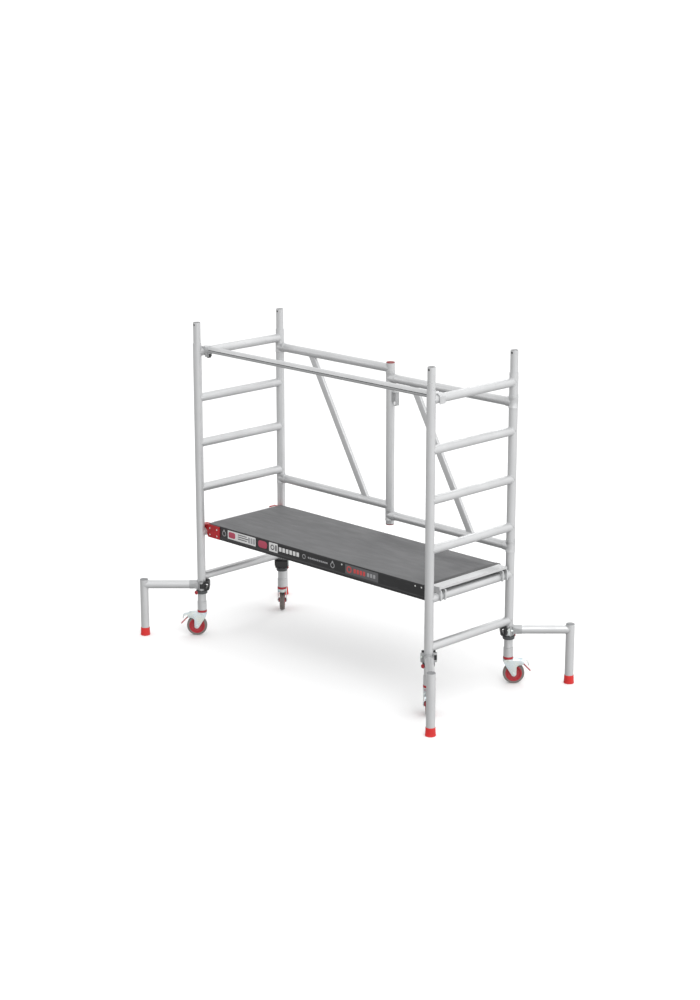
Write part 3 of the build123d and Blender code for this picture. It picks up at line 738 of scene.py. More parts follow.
def brace_tube(top, bottom, rail_radius, depth, width):
    """Brace with a flat-sided, round-cornered section whose ends fit the round rails: each
    line of the tube runs on until it is sqrt(rail_radius^2 - y^2) from the rail's axis in
    height.
    """
    top, bottom = np.asarray(top, float), np.asarray(bottom, float)
    along = unit(bottom - top)
    in_plane = np.cross(along, (0, 1, 0))
    half_d, half_w = depth / 2, width / 2
    corners = [(-half_d, -half_w), (half_d, -half_w), (half_d, half_w), (-half_d, half_w)]
    section = rounded_outline(corners, 7 * MM, 7)
    across = section[:, :1] * in_plane + section[:, 1:] * np.array((0.0, 1.0, 0.0))
    drop = np.sqrt(rail_radius**2 - section[:, 1] ** 2)
    start = (top[2] - drop - top[2] - across[:, 2]) / along[2]
    stop = (bottom[2] + drop - top[2] - across[:, 2]) / along[2]
    share = np.linspace(0, 1, 5)[:, None]
    distance = start + (stop - start) * share
    return top + across[None] + distance[..., None] * along, across


def seam_bead(line, outward, along, bead):
    """Bead along a closed seam: a small circle in the plane of the outward and tube directions."""
    turn = np.linspace(0, TURN, 8, endpoint=False)[:, None, None]
    count = line.shape[0]
    thick = bead * (1 + 0.12 * np.sin(np.arange(count) * 1.7))[None, :, None]
    return line[None] + thick * (np.cos(turn) * outward[None] + np.sin(turn) * along)


def make_gate(side, rail_heights, brace_x, sleeves, sizes):
    """Rails, brace, hinge sleeves and washers of one rear gate."""
    node = f"gate_{side}"
    rails, castings, washers, welds = Shells(), Shells(), Shells(), Shells()
    half_sleeve = 32.5 * MM
    near, far = (-POST_X, 0.0) if side == "left" else (0.0, POST_X)
    radius, hollow = sizes.rung_radius, sizes.rung_radius - sizes.wall
    depth = 36 * MM
    for z in rail_heights:
        if side == "left":
            start, end = (near + depth, POST_Y, z), (far, POST_Y, z)
            rails.add(saddled_tube(start, end, radius, hollow, POST_R, UP, (False, True)), close_rows=True)
            welds.add(weld_bead(end, (-1, 0, 0), UP, radius, POST_R, sizes.weld_radius), close_rows=True)
        else:
            tube_shell(rails, (near + depth, POST_Y, z), (far - depth, POST_Y, z), radius, hollow)
        for x, toward in sleeves:
            hinge_casting(castings, x, z, toward, half_sleeve)
            bore, lip, waist = POST_R + 0.1 * MM, 28.0 * MM, 26.6 * MM
            ring = [(bore, 0), (lip, 0), (lip, 2.5 * MM), (waist, 3.2 * MM), (waist, 8.8 * MM)]
            ring += [(lip, 9.5 * MM), (lip, 12 * MM), (bore, 12 * MM)]
            level = z + half_sleeve + 0.2 * MM
            if x == 0 or side == "right":
                washers.add(revolved(ring, (x, POST_Y, level), UP), close_rows=True)
    low, high = rail_heights
    top, bottom = (brace_x[0], POST_Y, high), (brace_x[1], POST_Y, low)
    grid, across = brace_tube(top, bottom, radius, 45 * MM, 22 * MM)
    rails.add(grid, caps=False)
    outward = across / np.linalg.norm(across, axis=1, keepdims=True)
    direction = unit(np.asarray(bottom) - top)
    for line in (grid[0], grid[-1]):
        welds.add(seam_bead(line, outward, direction, sizes.weld_radius * 0.8), close_rows=True)
    rails.piece(f"gate_{side}_rails", MATERIALS["gate"], "tower", [node], "gate_tube")
    castings.piece(f"gate_{side}_sleeves", MATERIALS["sleeve"], "tower", [node], "gate_tube")
    welds.piece(f"gate_{side}_welds", MATERIALS["weld"], "tower", [node], "gate_tube", 60)
    if washers.count:
        washers.piece(f"gate_{side}_washers", MATERIALS["sleeve"], "tower", [], "gate_tube")


def make_mid_post():
    """Middle post and its domed caps."""
    post = Shells()
    tube_shell(post, (0, POST_Y, MID_LOW), (0, POST_Y, MID_HIGH), POST_R, POST_R - 3.2 * MM)
    post.piece("mid_post_tube", MATERIALS["gate"], "tower", ["mid_post"], "gate_tube")
    caps = Shells()
    height = 6 * MM
    for level, direction in ((MID_HIGH, 1), (MID_LOW, -1)):
        rise = np.linspace(0, math.pi / 2, 6)
        dome = [(POST_R * (0.86 + 0.14 * math.cos(t)), height * (0.45 + 0.55 * math.sin(t))) for t in rise]
        profile = [(21.9 * MM, -18 * MM), (21.9 * MM, 0), (POST_R, 0), *dome, (0, height)]
        profile = [(0, -18 * MM), *profile]
        caps.add(revolved(profile, (0, POST_Y, level), (0, 0, direction)))
    caps.piece("mid_post_end_caps", MATERIALS["cap"], "tower", ["mid_post_caps"], "red_cap")


# Legs, locks and casters.


def make_leg(corner):
    """Leg tube with its grooved collar and the red ring under it."""
    name = corner.name
    low, high = float(span(f"{name}_leg_collar")[0][2]), float(span(f"{name}_leg_inner_tube")[1][2])
    collar_r, collar_high = 28.5 * MM, POST_LOW - 0.5 * MM
    neck_high = low + 14 * MM
    pitch = (collar_high - neck_high) / 6
    bore = 11.1 * MM
    profile = [(bore, low), (27 * MM, low), (27 * MM, neck_high), (collar_r - 0.8 * MM, neck_high)]
    profile += [(collar_r, neck_high + 0.8 * MM)]
    for count in range(1, 6):
        z = neck_high + pitch * count
        profile += [(collar_r, z - 1.6 * MM), (collar_r - MM, z - 0.9 * MM)]
        profile += [(collar_r - MM, z + 0.9 * MM), (collar_r, z + 1.6 * MM)]
    profile += [(collar_r, collar_high - 0.8 * MM), (collar_r - 0.8 * MM, collar_high)]
    profile += [(21.2 * MM, collar_high), (21.2 * MM, high), (18.2 * MM, high), (18.2 * MM, low + 50 * MM)]
    profile += [(bore, low + 50 * MM)]
    leg = Shells().add(revolved(profile, corner.origin, UP), close_rows=True)
    nodes = [f"{name}_leg_collar", f"{name}_leg_inner_tube"]
    leg.piece(f"{name}_leg_tube", MATERIALS["turned"], f"{name}_leg", nodes, "leg_tube")

    ring_r = 29.6 * MM
    ring = [(27 * MM, low + 0.3 * MM), (ring_r - MM, low + 0.3 * MM), (ring_r, low + 1.6 * MM)]
    ring += [(ring_r, neck_high - 2 * MM), (ring_r - 1.2 * MM, neck_high - 0.4 * MM), (27 * MM, neck_high - 0.4 * MM)]
    ring = Shells().add(revolved(ring, corner.origin, UP), close_rows=True)
    ring.piece(f"{name}_swivel_ring", MATERIALS["red"], f"{name}_leg", [], "red_plastic")


def make_lock(corner):
    """Pull knob: a stepped red button with a dished face and a grip groove."""
    name = corner.name
    low, high = (np.array(value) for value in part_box(f"{name}_leg_lock_knob"))
    centre = (low + high) / 2
    local_z = float(centre[2])
    start = corner.origin + UP * local_z
    axis = np.array(JOINTS[f"{name}_lock_pull"]["axis"], float)
    profile = [(0, 22.3 * MM), (3.6 * MM, 22.3 * MM), (4 * MM, 22.8 * MM), (4 * MM, 40.5 * MM)]
    profile += [(8 * MM, 40.5 * MM), (8 * MM, 43.5 * MM), (10.6 * MM, 43.8 * MM), (12 * MM, 45 * MM)]
    profile += [(12 * MM, 48 * MM), (11.2 * MM, 49.4 * MM), (9.8 * MM, 50 * MM), (7.2 * MM, 49.2 * MM)]
    profile += [(0, 48.6 * MM)]
    knob = Shells().add(revolved(profile, start, axis, 48))
    knob.piece(f"{name}_pull_knob", MATERIALS["red"], f"{name}_lock", [f"{name}_leg_lock_knob"], "red_plastic")


def make_lock_bands(corners):
    """Grey bands with their bosses."""
    low, high = (float(value[2]) for value in span("leg_lock_bands"))
    shells = Shells()
    for corner in corners:
        z = 282 * MM
        edge = 2 * MM
        inner, outer = POST_R + 0.1 * MM, 35 * MM
        profile = [(inner, low), (outer - edge, low), (outer, low + edge), (outer, high - edge)]
        profile += [(outer - edge, high), (inner, high)]
        shells.add(revolved(profile, corner.origin, UP), close_rows=True)
        axis = np.array(JOINTS[f"{corner.name}_lock_pull"]["axis"], float)
        boss = [(4.1 * MM, 30 * MM), (10 * MM, 30 * MM), (9 * MM, 36 * MM), (9 * MM, 39 * MM)]
        boss += [(8.2 * MM, 40 * MM), (4.1 * MM, 40 * MM)]
        shells.add(revolved(boss, corner.origin + UP * z, axis, 40), close_rows=True)
    shells.piece("lock_bands", MATERIALS["grey"], "tower", ["leg_lock_bands"], "lock_grey")


def make_fork(corner):
    """Caster fork: swivel head, two tapering cheeks, the arch over the wheel, axle and nuts."""
    name, trail, axle_z = corner.name, corner.trail, corner.axle_z
    brake_x, brake_z = corner.brake
    top = corner.swivel_z - 0.5 * MM
    shells = Shells()
    head = [(0, 128 * MM), (25 * MM, 128 * MM), (27.5 * MM, 130 * MM), (30 * MM, 141 * MM)]
    head += [(30 * MM, 144 * MM), (28.8 * MM, 145 * MM), (28.8 * MM, 146 * MM), (30 * MM, 147 * MM)]
    head += [(30 * MM, top - MM), (29 * MM, top), (11 * MM, top), (11 * MM, 196 * MM), (0, 196 * MM)]
    shells.add(revolved(head, corner.origin, UP))
    cheek = [(-26.5 * MM, 146 * MM), (-25.5 * MM, 128 * MM)]
    cheek += arc((trail, axle_z), 15 * MM, 205, 350, 12).tolist()
    cheek += [(trail + 15 * MM, 104 * MM), (trail + 27 * MM, 115 * MM), (brake_x + 9 * MM, 117 * MM)]
    cheek += arc((brake_x + 2 * MM, brake_z - MM), 13 * MM, -35, 70, 7).tolist()
    cheek += [(trail + 22 * MM, 146 * MM)]
    outline = rounded_outline(cheek, 4 * MM, 3)
    for low, high in ((-28 * MM, -25 * MM), (25 * MM, 28 * MM)):
        shells.add(corner.place(upright_xz(slab(outline, low, high, 0.9 * MM))))
    arch = [(-26, 143), (0, 144.5), (30, 145), (58, 143), (71, 139)]
    path = bezier_path(np.array(arch) * MM)
    shells.add(corner.place(swept_strip(path, 27.6 * MM, 3 * MM)))
    for side in (-1, 1):
        face = side * 28 * MM
        direction = side * corner.side
        nut_start = corner.place((trail, face, axle_z))
        nut = [(0, 0), (9.6 * MM, 0), (9.6 * MM, 0.8 * MM), (8.6 * MM, 1.0 * MM)]
        nut += [(8.6 * MM, 2.6 * MM), (7.6 * MM, 3 * MM), (0, 3 * MM)]
        shells.add(revolved(nut, nut_start, direction, 6))
        pin = [(0, 0), (5.4 * MM, 0), (5.2 * MM, 1.0 * MM), (3.6 * MM, 1.5 * MM), (0, 1.5 * MM)]
        shells.add(revolved(pin, corner.place((brake_x, face, brake_z)), direction, 32))
    rod_shell(shells, corner.place((trail, -28 * MM, axle_z)), corner.place((trail, 28 * MM, axle_z)), 6 * MM)
    rod_shell(shells, corner.place((brake_x, -28 * MM, brake_z)), corner.place((brake_x, 28 * MM, brake_z)), 4 * MM)
    shells.piece(f"{name}_fork", MATERIALS["zinc"], f"{name}_caster", [f"{name}_caster_fork"], "zinc")


def make_wheel(corner, sizes):
    """Wheel core with a dished face and raised hub, and the tyre round it."""
    name = corner.name
    centre = corner.place((corner.trail, 0, corner.axle_z))
    rim = 48.4 * MM
    half = [(rim, 14), (rim - 1.2 * MM, 14.8), (41.5 * MM, 14.8), (40 * MM, 13.6), (37.5 * MM, 8.4)]
    half += [(34 * MM, 7), (19 * MM, 7), (16.5 * MM, 9), (14.5 * MM, 21), (13 * MM, 23), (9 * MM, 23.5)]
    half += [(6.06 * MM, 23.5)]
    half = [(radius, width * MM) for radius, width in half]
    profile = half + [(radius, -width) for radius, width in reversed(half)]
    core = Shells().add(revolved(profile, centre, corner.side, 72), close_rows=True)
    core.piece(f"{name}_wheel_core", MATERIALS["core"], f"{name}_wheel", [f"{name}_caster_wheel"], "wheel_red")

    radius = corner.axle_z
    crown = [(rim + 0.1 * MM, 15.2), (53 * MM, 16), (58.5 * MM, 15), (61.4 * MM, 11.5), (radius, 7)]
    grooves = []
    for count in range(sizes.tread_grooves):
        across = 5.2 - 3.6 * count
        grooves += [(radius, across + 0.6), (radius - 0.7 * MM, across + 0.2), (radius - 0.7 * MM, across - 0.2)]
        grooves += [(radius, across - 0.6)]
    half = crown + grooves
    tread = [(r, width * MM) for r, width in half]
    tread += [(r, -width) for r, width in reversed(tread)]
    tyre = Shells().add(revolved(tread, centre, corner.side, 96), close_rows=True)
    tyre.piece(f"{name}_tyre", MATERIALS["tyre"], f"{name}_wheel", [f"{name}_caster_tyre"], "tyre_grey")


def make_brake(corner):
    """Brake: a bent pedal over the wheel with three ridges across it, its boss, and the red tab."""
    name = corner.name
    brake_x, brake_z = corner.brake
    body = f"{name}_brake"
    shells = Shells()
    bends = [(-3, 134.5), (7, 135.6), (34, 132.3), (43, 124.5), (43.5, 119), (42.2, 112.5)]
    path = bezier_path(np.array(bends) * MM + (brake_x, 0))
    shells.add(corner.place(swept_strip(path, 24 * MM, 3 * MM)))
    tube_shell(shells, corner.place((brake_x, -24.4 * MM, brake_z)), corner.place((brake_x, 24.4 * MM, brake_z)), 7 * MM, 4.1 * MM, 40)
    for y in (-13, 0, 13):
        start = corner.place((brake_x + 12 * MM, y * MM, 137.2 * MM))
        end = corner.place((brake_x + 31 * MM, y * MM, 133.6 * MM))
        rod_shell(shells, start, end, 1.6 * MM, 0.6 * MM, 16)
    shells.piece(f"{name}_pedal", MATERIALS["zinc"], body, [f"{name}_brake_pedal"], "zinc")
    bends = [(4, 127), (14, 117), (30, 101), (45, 85), (55, 75.5)]
    path = bezier_path(np.array(bends) * MM + (brake_x, 0))
    tab = Shells().add(corner.place(swept_strip(path, 14 * MM, 3.6 * MM)))
    tab.piece(f"{name}_release_tab", MATERIALS["core"], body, [f"{name}_brake_pedal"], "red_plastic")


# Stabilisers.


def make_stabiliser(corner, sizes):
    """Clamp casting, arm, foot tube, weld, plug, closing bolt and foot of one stabiliser."""
    name = corner.name
    body = f"{name}_stabiliser"
    length, arm_z = 355 * MM, 326 * MM
    low, high = 297 * MM, 352 * MM
    casting = Shells()
    inner, outer = POST_R + 0.1 * MM, 32 * MM
    half = np.concatenate((arc((0, 0), outer, -87, 87, 24), arc((0, 0), inner, 87, -87, 24)))
    casting.add(corner.place(slab(half, low, high, 1.2 * MM)))
    for side in (-1, 1):
        near, far = side * 28 * MM, side * 45 * MM
        corners = [(1.5 * MM, near), (12 * MM, near), (10 * MM, far), (1.5 * MM, far)]
        if side > 0:
            corners = [(1.5 * MM, near), (13 * MM, near), (8 * MM, far), (1.5 * MM, far)]
        lug = rounded_outline(corners, 4 * MM, 5)
        bands = ((low, 309.5 * MM), (339.5 * MM, high)) if side > 0 else ((low, high),)
        for start, stop in bands:
            casting.add(corner.place(slab(lug, start, stop, 1.2 * MM)))
            if side > 0:
                rod_shell(casting, corner.place((0, 37 * MM, start)), corner.place((0, 37 * MM, stop)), 9.8 * MM, MM)
    socket = [(25.3 * MM, 0), (26.4 * MM, 0), (26.4 * MM, 73.5 * MM), (25.8 * MM, 75 * MM), (25.3 * MM, 75 * MM)]
    mouth = corner.origin + UP * arm_z
    casting.add(fitted(socket, mouth, corner.out, UP, POST_R + 1.6 * MM), close_rows=True)
    for side in (-1, 1):
        rib = [(20, 300), (70, 322), (70, 330), (20, 350)]
        grid = upright_xz(slab(rounded_outline(np.array(rib) * MM, 2 * MM, 3), -2 * MM, 2 * MM, 0.8 * MM))
        grid = grid + np.array((0, side * 26.5 * MM, 0))
        casting.add(corner.place(grid))
    casting.piece(f"{name}_clamp_casting", MATERIALS["clamp"], body, [body], "grey_casting")

    bolt = Shells()
    rod_shell(bolt, corner.place((0, 37 * MM, low - 2.5 * MM)), corner.place((0, 37 * MM, high)), 5 * MM, MM)
    rod_shell(bolt, corner.place((-12 * MM, -39 * MM, 330 * MM)), corner.place((24 * MM, -39 * MM, 330 * MM)), 4 * MM)
    wing = [(0, 0), (8 * MM, 0), (8 * MM, 5 * MM), (5 * MM, 9 * MM), (0, 9 * MM)]
    bolt.add(revolved(wing, corner.place((12 * MM, -39 * MM, 330 * MM)), corner.out, 6))
    eye = [(-6, 306), (-6, 342), (6, 346), (6, 302)]
    grid = upright_xz(slab(rounded_outline(np.array(eye) * MM, 4 * MM, 4), -46 * MM, -32 * MM, 1.2 * MM))
    bolt.add(corner.place(grid + np.array((-2 * MM, 0, 0))))
    bolt.piece(f"{name}_clamp_bolt", MATERIALS["zinc"], body, [], "zinc")

    arm = Shells()
    start, end = corner.place((45 * MM, 0, arm_z)), corner.place((length, 0, arm_z))
    radius = sizes.rung_radius
    arm.add(saddled_tube(start, end, radius, radius - sizes.wall, POST_R, UP, (False, True)), close_rows=True)
    foot_low = 12 * MM
    foot_high = float(span(body)[1][2])
    tube_shell(arm, corner.place((length, 0, foot_low)), corner.place((length, 0, foot_high)), POST_R, POST_R - 3.2 * MM)
    arm.piece(f"{name}_arm", MATERIALS["tube"], body, [body], "grey_casting")
    bead = weld_bead(end, -corner.out, UP, radius, POST_R, sizes.weld_radius)
    Shells().add(bead, close_rows=True).piece(f"{name}_arm_weld", MATERIALS["weld"], body, [body], "grey_casting", 60)

    centre = corner.place((length, 0, 0))
    plug = [(0, foot_high - 16 * MM), (22 * MM, foot_high - 16 * MM), (22 * MM, foot_high), (POST_R - 0.4 * MM, foot_high)]
    plug += [(POST_R - 0.4 * MM, foot_high + 1.4 * MM), (POST_R - 2 * MM, foot_high + 2.6 * MM)]
    plug += [(8 * MM, foot_high + 3.2 * MM), (0, foot_high + 3.2 * MM)]
    plug = Shells().add(revolved(plug, centre, UP))
    plug.piece(f"{name}_arm_plug", MATERIALS["plug"], body, [], "lock_grey")

    foot = [(0, 0), (25 * MM, 0), (28.6 * MM, 0.4 * MM), (30 * MM, 2.2 * MM), (30 * MM, 6 * MM), (29.2 * MM, 8.5 * MM)]
    for count in range(3):
        z = (13 + 7 * count) * MM
        r = 29.0 * MM - count * 0.35 * MM
        foot += [(r, z), (r - 0.8 * MM, z + 0.8 * MM), (r - 0.8 * MM, z + 1.8 * MM), (r - 0.1 * MM, z + 2.6 * MM)]
    foot += [(27.6 * MM, 46 * MM), (27.5 * MM, 48.6 * MM), (26.6 * MM, 50 * MM), (25.5 * MM, 50 * MM)]
    foot += [(25.5 * MM, 12 * MM), (0, 12 * MM)]
    foot = Shells().add(revolved(foot, centre, UP, 72))
    foot.piece(f"{name}_rubber_foot", MATERIALS["foot"], body, [f"{name}_stabiliser_foot"], "foot_red")


# Deck.


def make_deck():
    """Board, side rails and the black strip along the board's edge."""
    low, high = DECK_LOW, DECK_HIGH
    board = Shells().add(bar_grid(low, high, 0.8 * MM, axis=0))
    board.piece("deck_top", MATERIALS["board"], "platform", ["deck_panel"], "deck_board")
    top = float(high[2])
    for name, side in (("front", -1), ("rear", 1)):
        node = f"side_rail_{name}"
        start, end = float(span(node)[0][0]), float(span(node)[1][0])
        section = [(302, 632), (307, 632), (307.6, 635), (307.6, 647), (305, 651), (305, 714.5)]
        section += [(303.5, 718.2), (301.7, 718.2), (301.7, 706), (276, 706), (276, 703), (302, 703)]
        section += [(302, 636), (272, 636), (272, 632)]
        outline = rounded_outline(np.array(section) * MM * (side, 1), 1.2 * MM, 3)
        grid = slab(outline, start, end, 0.6 * MM)
        rail = Shells().add(grid[..., (2, 0, 1)])
        rail.piece(f"{name}_rail", MATERIALS["rail"], "platform", [node], "rail_black")
    edge = float(high[0])
    strip = Shells().add(bar_grid((edge - 34 * MM, low[1], top), (edge, high[1], top + 3.6 * MM), 0.6 * MM, 1))
    strip.piece("deck_edge_strip", MATERIALS["rail"], "platform", [], "rail_black")


def dressed(node, name, material, body, edge, crease=40.0):
    """A casting or profile from its CAD node: a merged copy with its sharp edges rounded."""
    mesh = frame["nodes"][node].data.copy()
    mesh.name = name
    work = bmesh.new()
    work.from_mesh(mesh)
    bmesh.ops.remove_doubles(work, verts=work.verts, dist=1e-6)
    bmesh.ops.dissolve_limit(
        work, angle_limit=math.radians(1), verts=work.verts, edges=work.edges
    )
    bmesh.ops.recalc_face_normals(work, faces=work.faces)
    work.to_mesh(mesh)
    work.free()
    mesh.shade_smooth()
    mesh.set_sharp_from_angle(angle=math.radians(crease))
    mesh.materials.clear()
    mesh.materials.append(material)
    made = bpy.data.objects.new(name, mesh)
    bpy.context.scene.collection.objects.link(made)
    bevel = made.modifiers.new("edges", "BEVEL")
    bevel.width, bevel.segments, bevel.limit_method = edge, 2, "ANGLE"
    bevel.angle_limit = math.radians(crease)
    bevel.use_clamp_overlap = True
    bevel.harden_normals = False
    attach(made, body)
    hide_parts(node)
    return made


def button(shells, centre, axis, radius, height):
    """Add a domed rivet head: radius * cos t at a height * sin t."""
    t = np.linspace(0, math.pi / 2, 6)
    dome = np.stack((radius * np.cos(t), height * (0.25 + 0.75 * np.sin(t))), 1)
    profile = np.concatenate(((((0, 0), (radius, 0))), dome))
    return shells.add(revolved(profile, centre, axis, 20))


def make_profiles():
    """End profiles, cross bars, claws, hooks and rivets of the deck."""
    steel, bar = MATERIALS["profile"], MATERIALS["crossbar"]
    for side in ("right", "left"):
        dressed(f"end_profile_{side}", f"{side}_profile", steel, "platform", 0.8 * MM)
    dressed("deck_crossbars", "cross_bars", bar, "platform", 2.5 * MM)
    for end in ("front", "rear"):
        claw = MATERIALS["claw"]
        dressed(f"left_hook_{end}", f"{end}_claw", claw, "platform", 2 * MM)
        dressed(f"right_hook_{end}", f"{end}_hook", steel, "platform", 1.2 * MM)
    rivets = Shells()
    for side in (-1, 1):
        face = side * 305 * MM
        for x in (238, 817, 865):
            button(rivets, (x * MM, face, 700 * MM), (0, side, 0), 5 * MM, 2.2 * MM)
        face = side * 309 * MM
        for x in (-905, -840):
            for z in (690, 650):
                button(rivets, (x * MM, face, z * MM), (0, side, 0), 5 * MM, 2.2 * MM)
    rivets.piece("rail_rivet_heads", MATERIALS["rivet"], "platform", ["rail_rivets"], "rivet_metal")


# Marks on the front rail. Each is a thin film of plain shapes, without lettering.


class Film:
    """Collects flat shapes of one ink on the front rail's face."""

    def __init__(self, lift):
        self.shells = Shells()
        self.face = -305 * MM
        self.lift = lift * MM

    def shape(self, outline):
        """Add a shape from its outline in millimetres along the rail and up."""
        outline = np.asarray(outline, float) * MM
        grid = slab(outline, self.face - self.lift, self.face + 0.2 * MM, 0.02 * MM)
        self.shells.add(upright_xz(grid))

    def box(self, left, right, low, high, radius=1.0):
        """Add a rectangle with rounded corners."""
        corners = ((left, low), (right, low), (right, high), (left, high))
        self.shape(rounded_outline(corners, radius, 4))

    def ring(self, x, z, radius, width, start=0.0, sweep=360.0):
        """Add part of a ring."""
        angle = np.radians(np.linspace(start, start + sweep, 33))
        around = np.stack((np.cos(angle), np.sin(angle)), 1)
        outer = np.array((x, z)) + radius * around
        inner = np.array((x, z)) + (radius - width) * around[::-1]
        self.shape(np.concatenate((outer, inner)))

    def piece(self, name, material):
        """Make the film's object."""
        self.shells.piece(name, MATERIALS[material], "platform", [], "rail_black")


def make_marks():
    """Printed films along the front rail."""
    low, high = 656, 709
    middle = (low + high) / 2
    white, grey, dark, red, pink = Film(0.3), Film(0.4), Film(0.5), Film(0.4), Film(0.4)

    for x in (-777, 162):
        grey.ring(x, middle - 3, 17, 5, 120, 300)
        grey.shape([(x - 10, middle + 9), (x - 3, middle + 23), (x + 3, middle + 23), (x + 10, middle + 9)])

    white.box(-744, -494, low, high, 3)
    pink.box(-736, -676, low + 8, high - 8, 12)
    for row in range(3):
        dark.box(-652, -572 + 14 * (row % 2), middle + 12 - 13 * row, middle + 18 - 13 * row, 0.5)
    for column in range(3):
        grey.box(-560 + 22 * column, -544 + 22 * column, low + 9, high - 9, 1)

    pink.box(-472, -393, low + 4, high - 5, 20)
    white.box(-466, -399, middle - 6, middle + 5, 4)

    white.box(-376, -301, low - 1, high + 1, 4)
    dark.ring(-346, middle, 17, 7)
    dark.box(-322, -309, low + 8, high - 8, 1)

    for count in range(6):
        left = -290 + 30 * count
        white.box(left, left + 22, middle - 13, middle + 13, 2)
    grey.ring(-76, middle, 14, 4)

    for count in range(11):
        left = -42 + 15.2 * count
        grey.box(left, left + 11, middle - 5, middle + 5, 1)

    panel = Film(0.25)
    panel.box(266, 530, low - 2, high + 1, 3)
    red.ring(298, middle, 20, 7)
    for count in range(4):
        left = 334 + 25 * count
        red.box(left, left + 18, middle - 13, middle + 13, 2)
    for count in range(3):
        left = 442 + 24 * count
        grey.box(left, left + 17, middle - 11, middle + 11, 2)
    panel.piece("rail_mark_panel", "ink_grey")
    white.piece("rail_mark_white", "ink_white")
    grey.piece("rail_mark_grey", "ink_mid")
    dark.piece("rail_mark_dark", "ink_grey")
    red.piece("rail_mark_red", "ink_red")
    pink.piece("rail_mark_badges", "ink_pink")


# Guard and small fittings.


def make_guard(sizes):
    """Guard tube, a dark strip of painted shade along its front, its claws and the triggers under them."""
    low, high = span("guard_tube")
    y, z = (low[1] + high[1]) / 2, (low[2] + high[2]) / 2
    tube = Shells()
    tube_shell(tube, (low[0], y, z), (high[0], y, z), sizes.guard_radius, sizes.guard_radius - 2 * MM)
    tube.piece("guard_rail", MATERIALS["tube"], "guard", ["guard_tube"], "frame_tube")
    # Painted shade: a dark grey strip along the middle of the guard's front face stands in for the dark band of
    # reflection there.
    reach, depth = sizes.guard_radius, 2.2 * MM
    start = (low[0] + 20 * MM, y - reach - 0.3 * MM, z - depth)
    end = (high[0] - 20 * MM, y - reach + 1.2 * MM, z + depth)
    shade_band = Shells().add(bar_grid(start, end, 0.4 * MM, 0))
    shade_band.piece("guard_inlay", MATERIALS["grey"], "guard", [], "trigger_dark")
    dressed("guard_claws", "guard_hooks", MATERIALS["sleeve"], "guard", 1.0 * MM)
    for side in SIDES:
        node = f"guard_trigger_{side}"
        dressed(node, f"{side}_trigger", MATERIALS["black"], node, 1 * MM)


def make_spigots():
    """Joining spigots, with a dark spring button behind each of their holes."""
    dressed("spigots", "post_spigots", MATERIALS["spigot"], "tower", 0.5 * MM)
    height = float(span("spigots")[1][2]) - 14 * MM
    buttons = Shells()
    for x in (-POST_X, POST_X):
        for y in (-POST_Y, POST_Y):
            for side in (-1, 1):
                start, end = (x, y + side * 18.2 * MM, height), (x, y + side * 20.4 * MM, height)
                rod_shell(buttons, start, end, 6.3 * MM, 0.5 * MM, 24)
    buttons.piece("spigot_buttons", MATERIALS["black"], "tower", [], "lock_grey")


def make_latch(corner):
    """Oval loop that closes a stabiliser's clamp."""
    name = corner.name
    node = f"{name}_clamp_latch"
    dressed(node, f"{name}_loop_latch", MATERIALS["black"], f"{name}_latch", 2 * MM)


# Stage.


def soft_light(name, size, power, place, target):
    """Square soft light that faces a point."""
    data = bpy.data.lights.new(name, "AREA")
    data.size, data.energy = size, power
    light = bpy.data.objects.new(name, data)
    bpy.context.scene.collection.objects.link(light)
    light.location = place
    light.rotation_euler = (Vector(target) - Vector(place)).to_track_quat("-Z", "Y").to_euler()
    return light


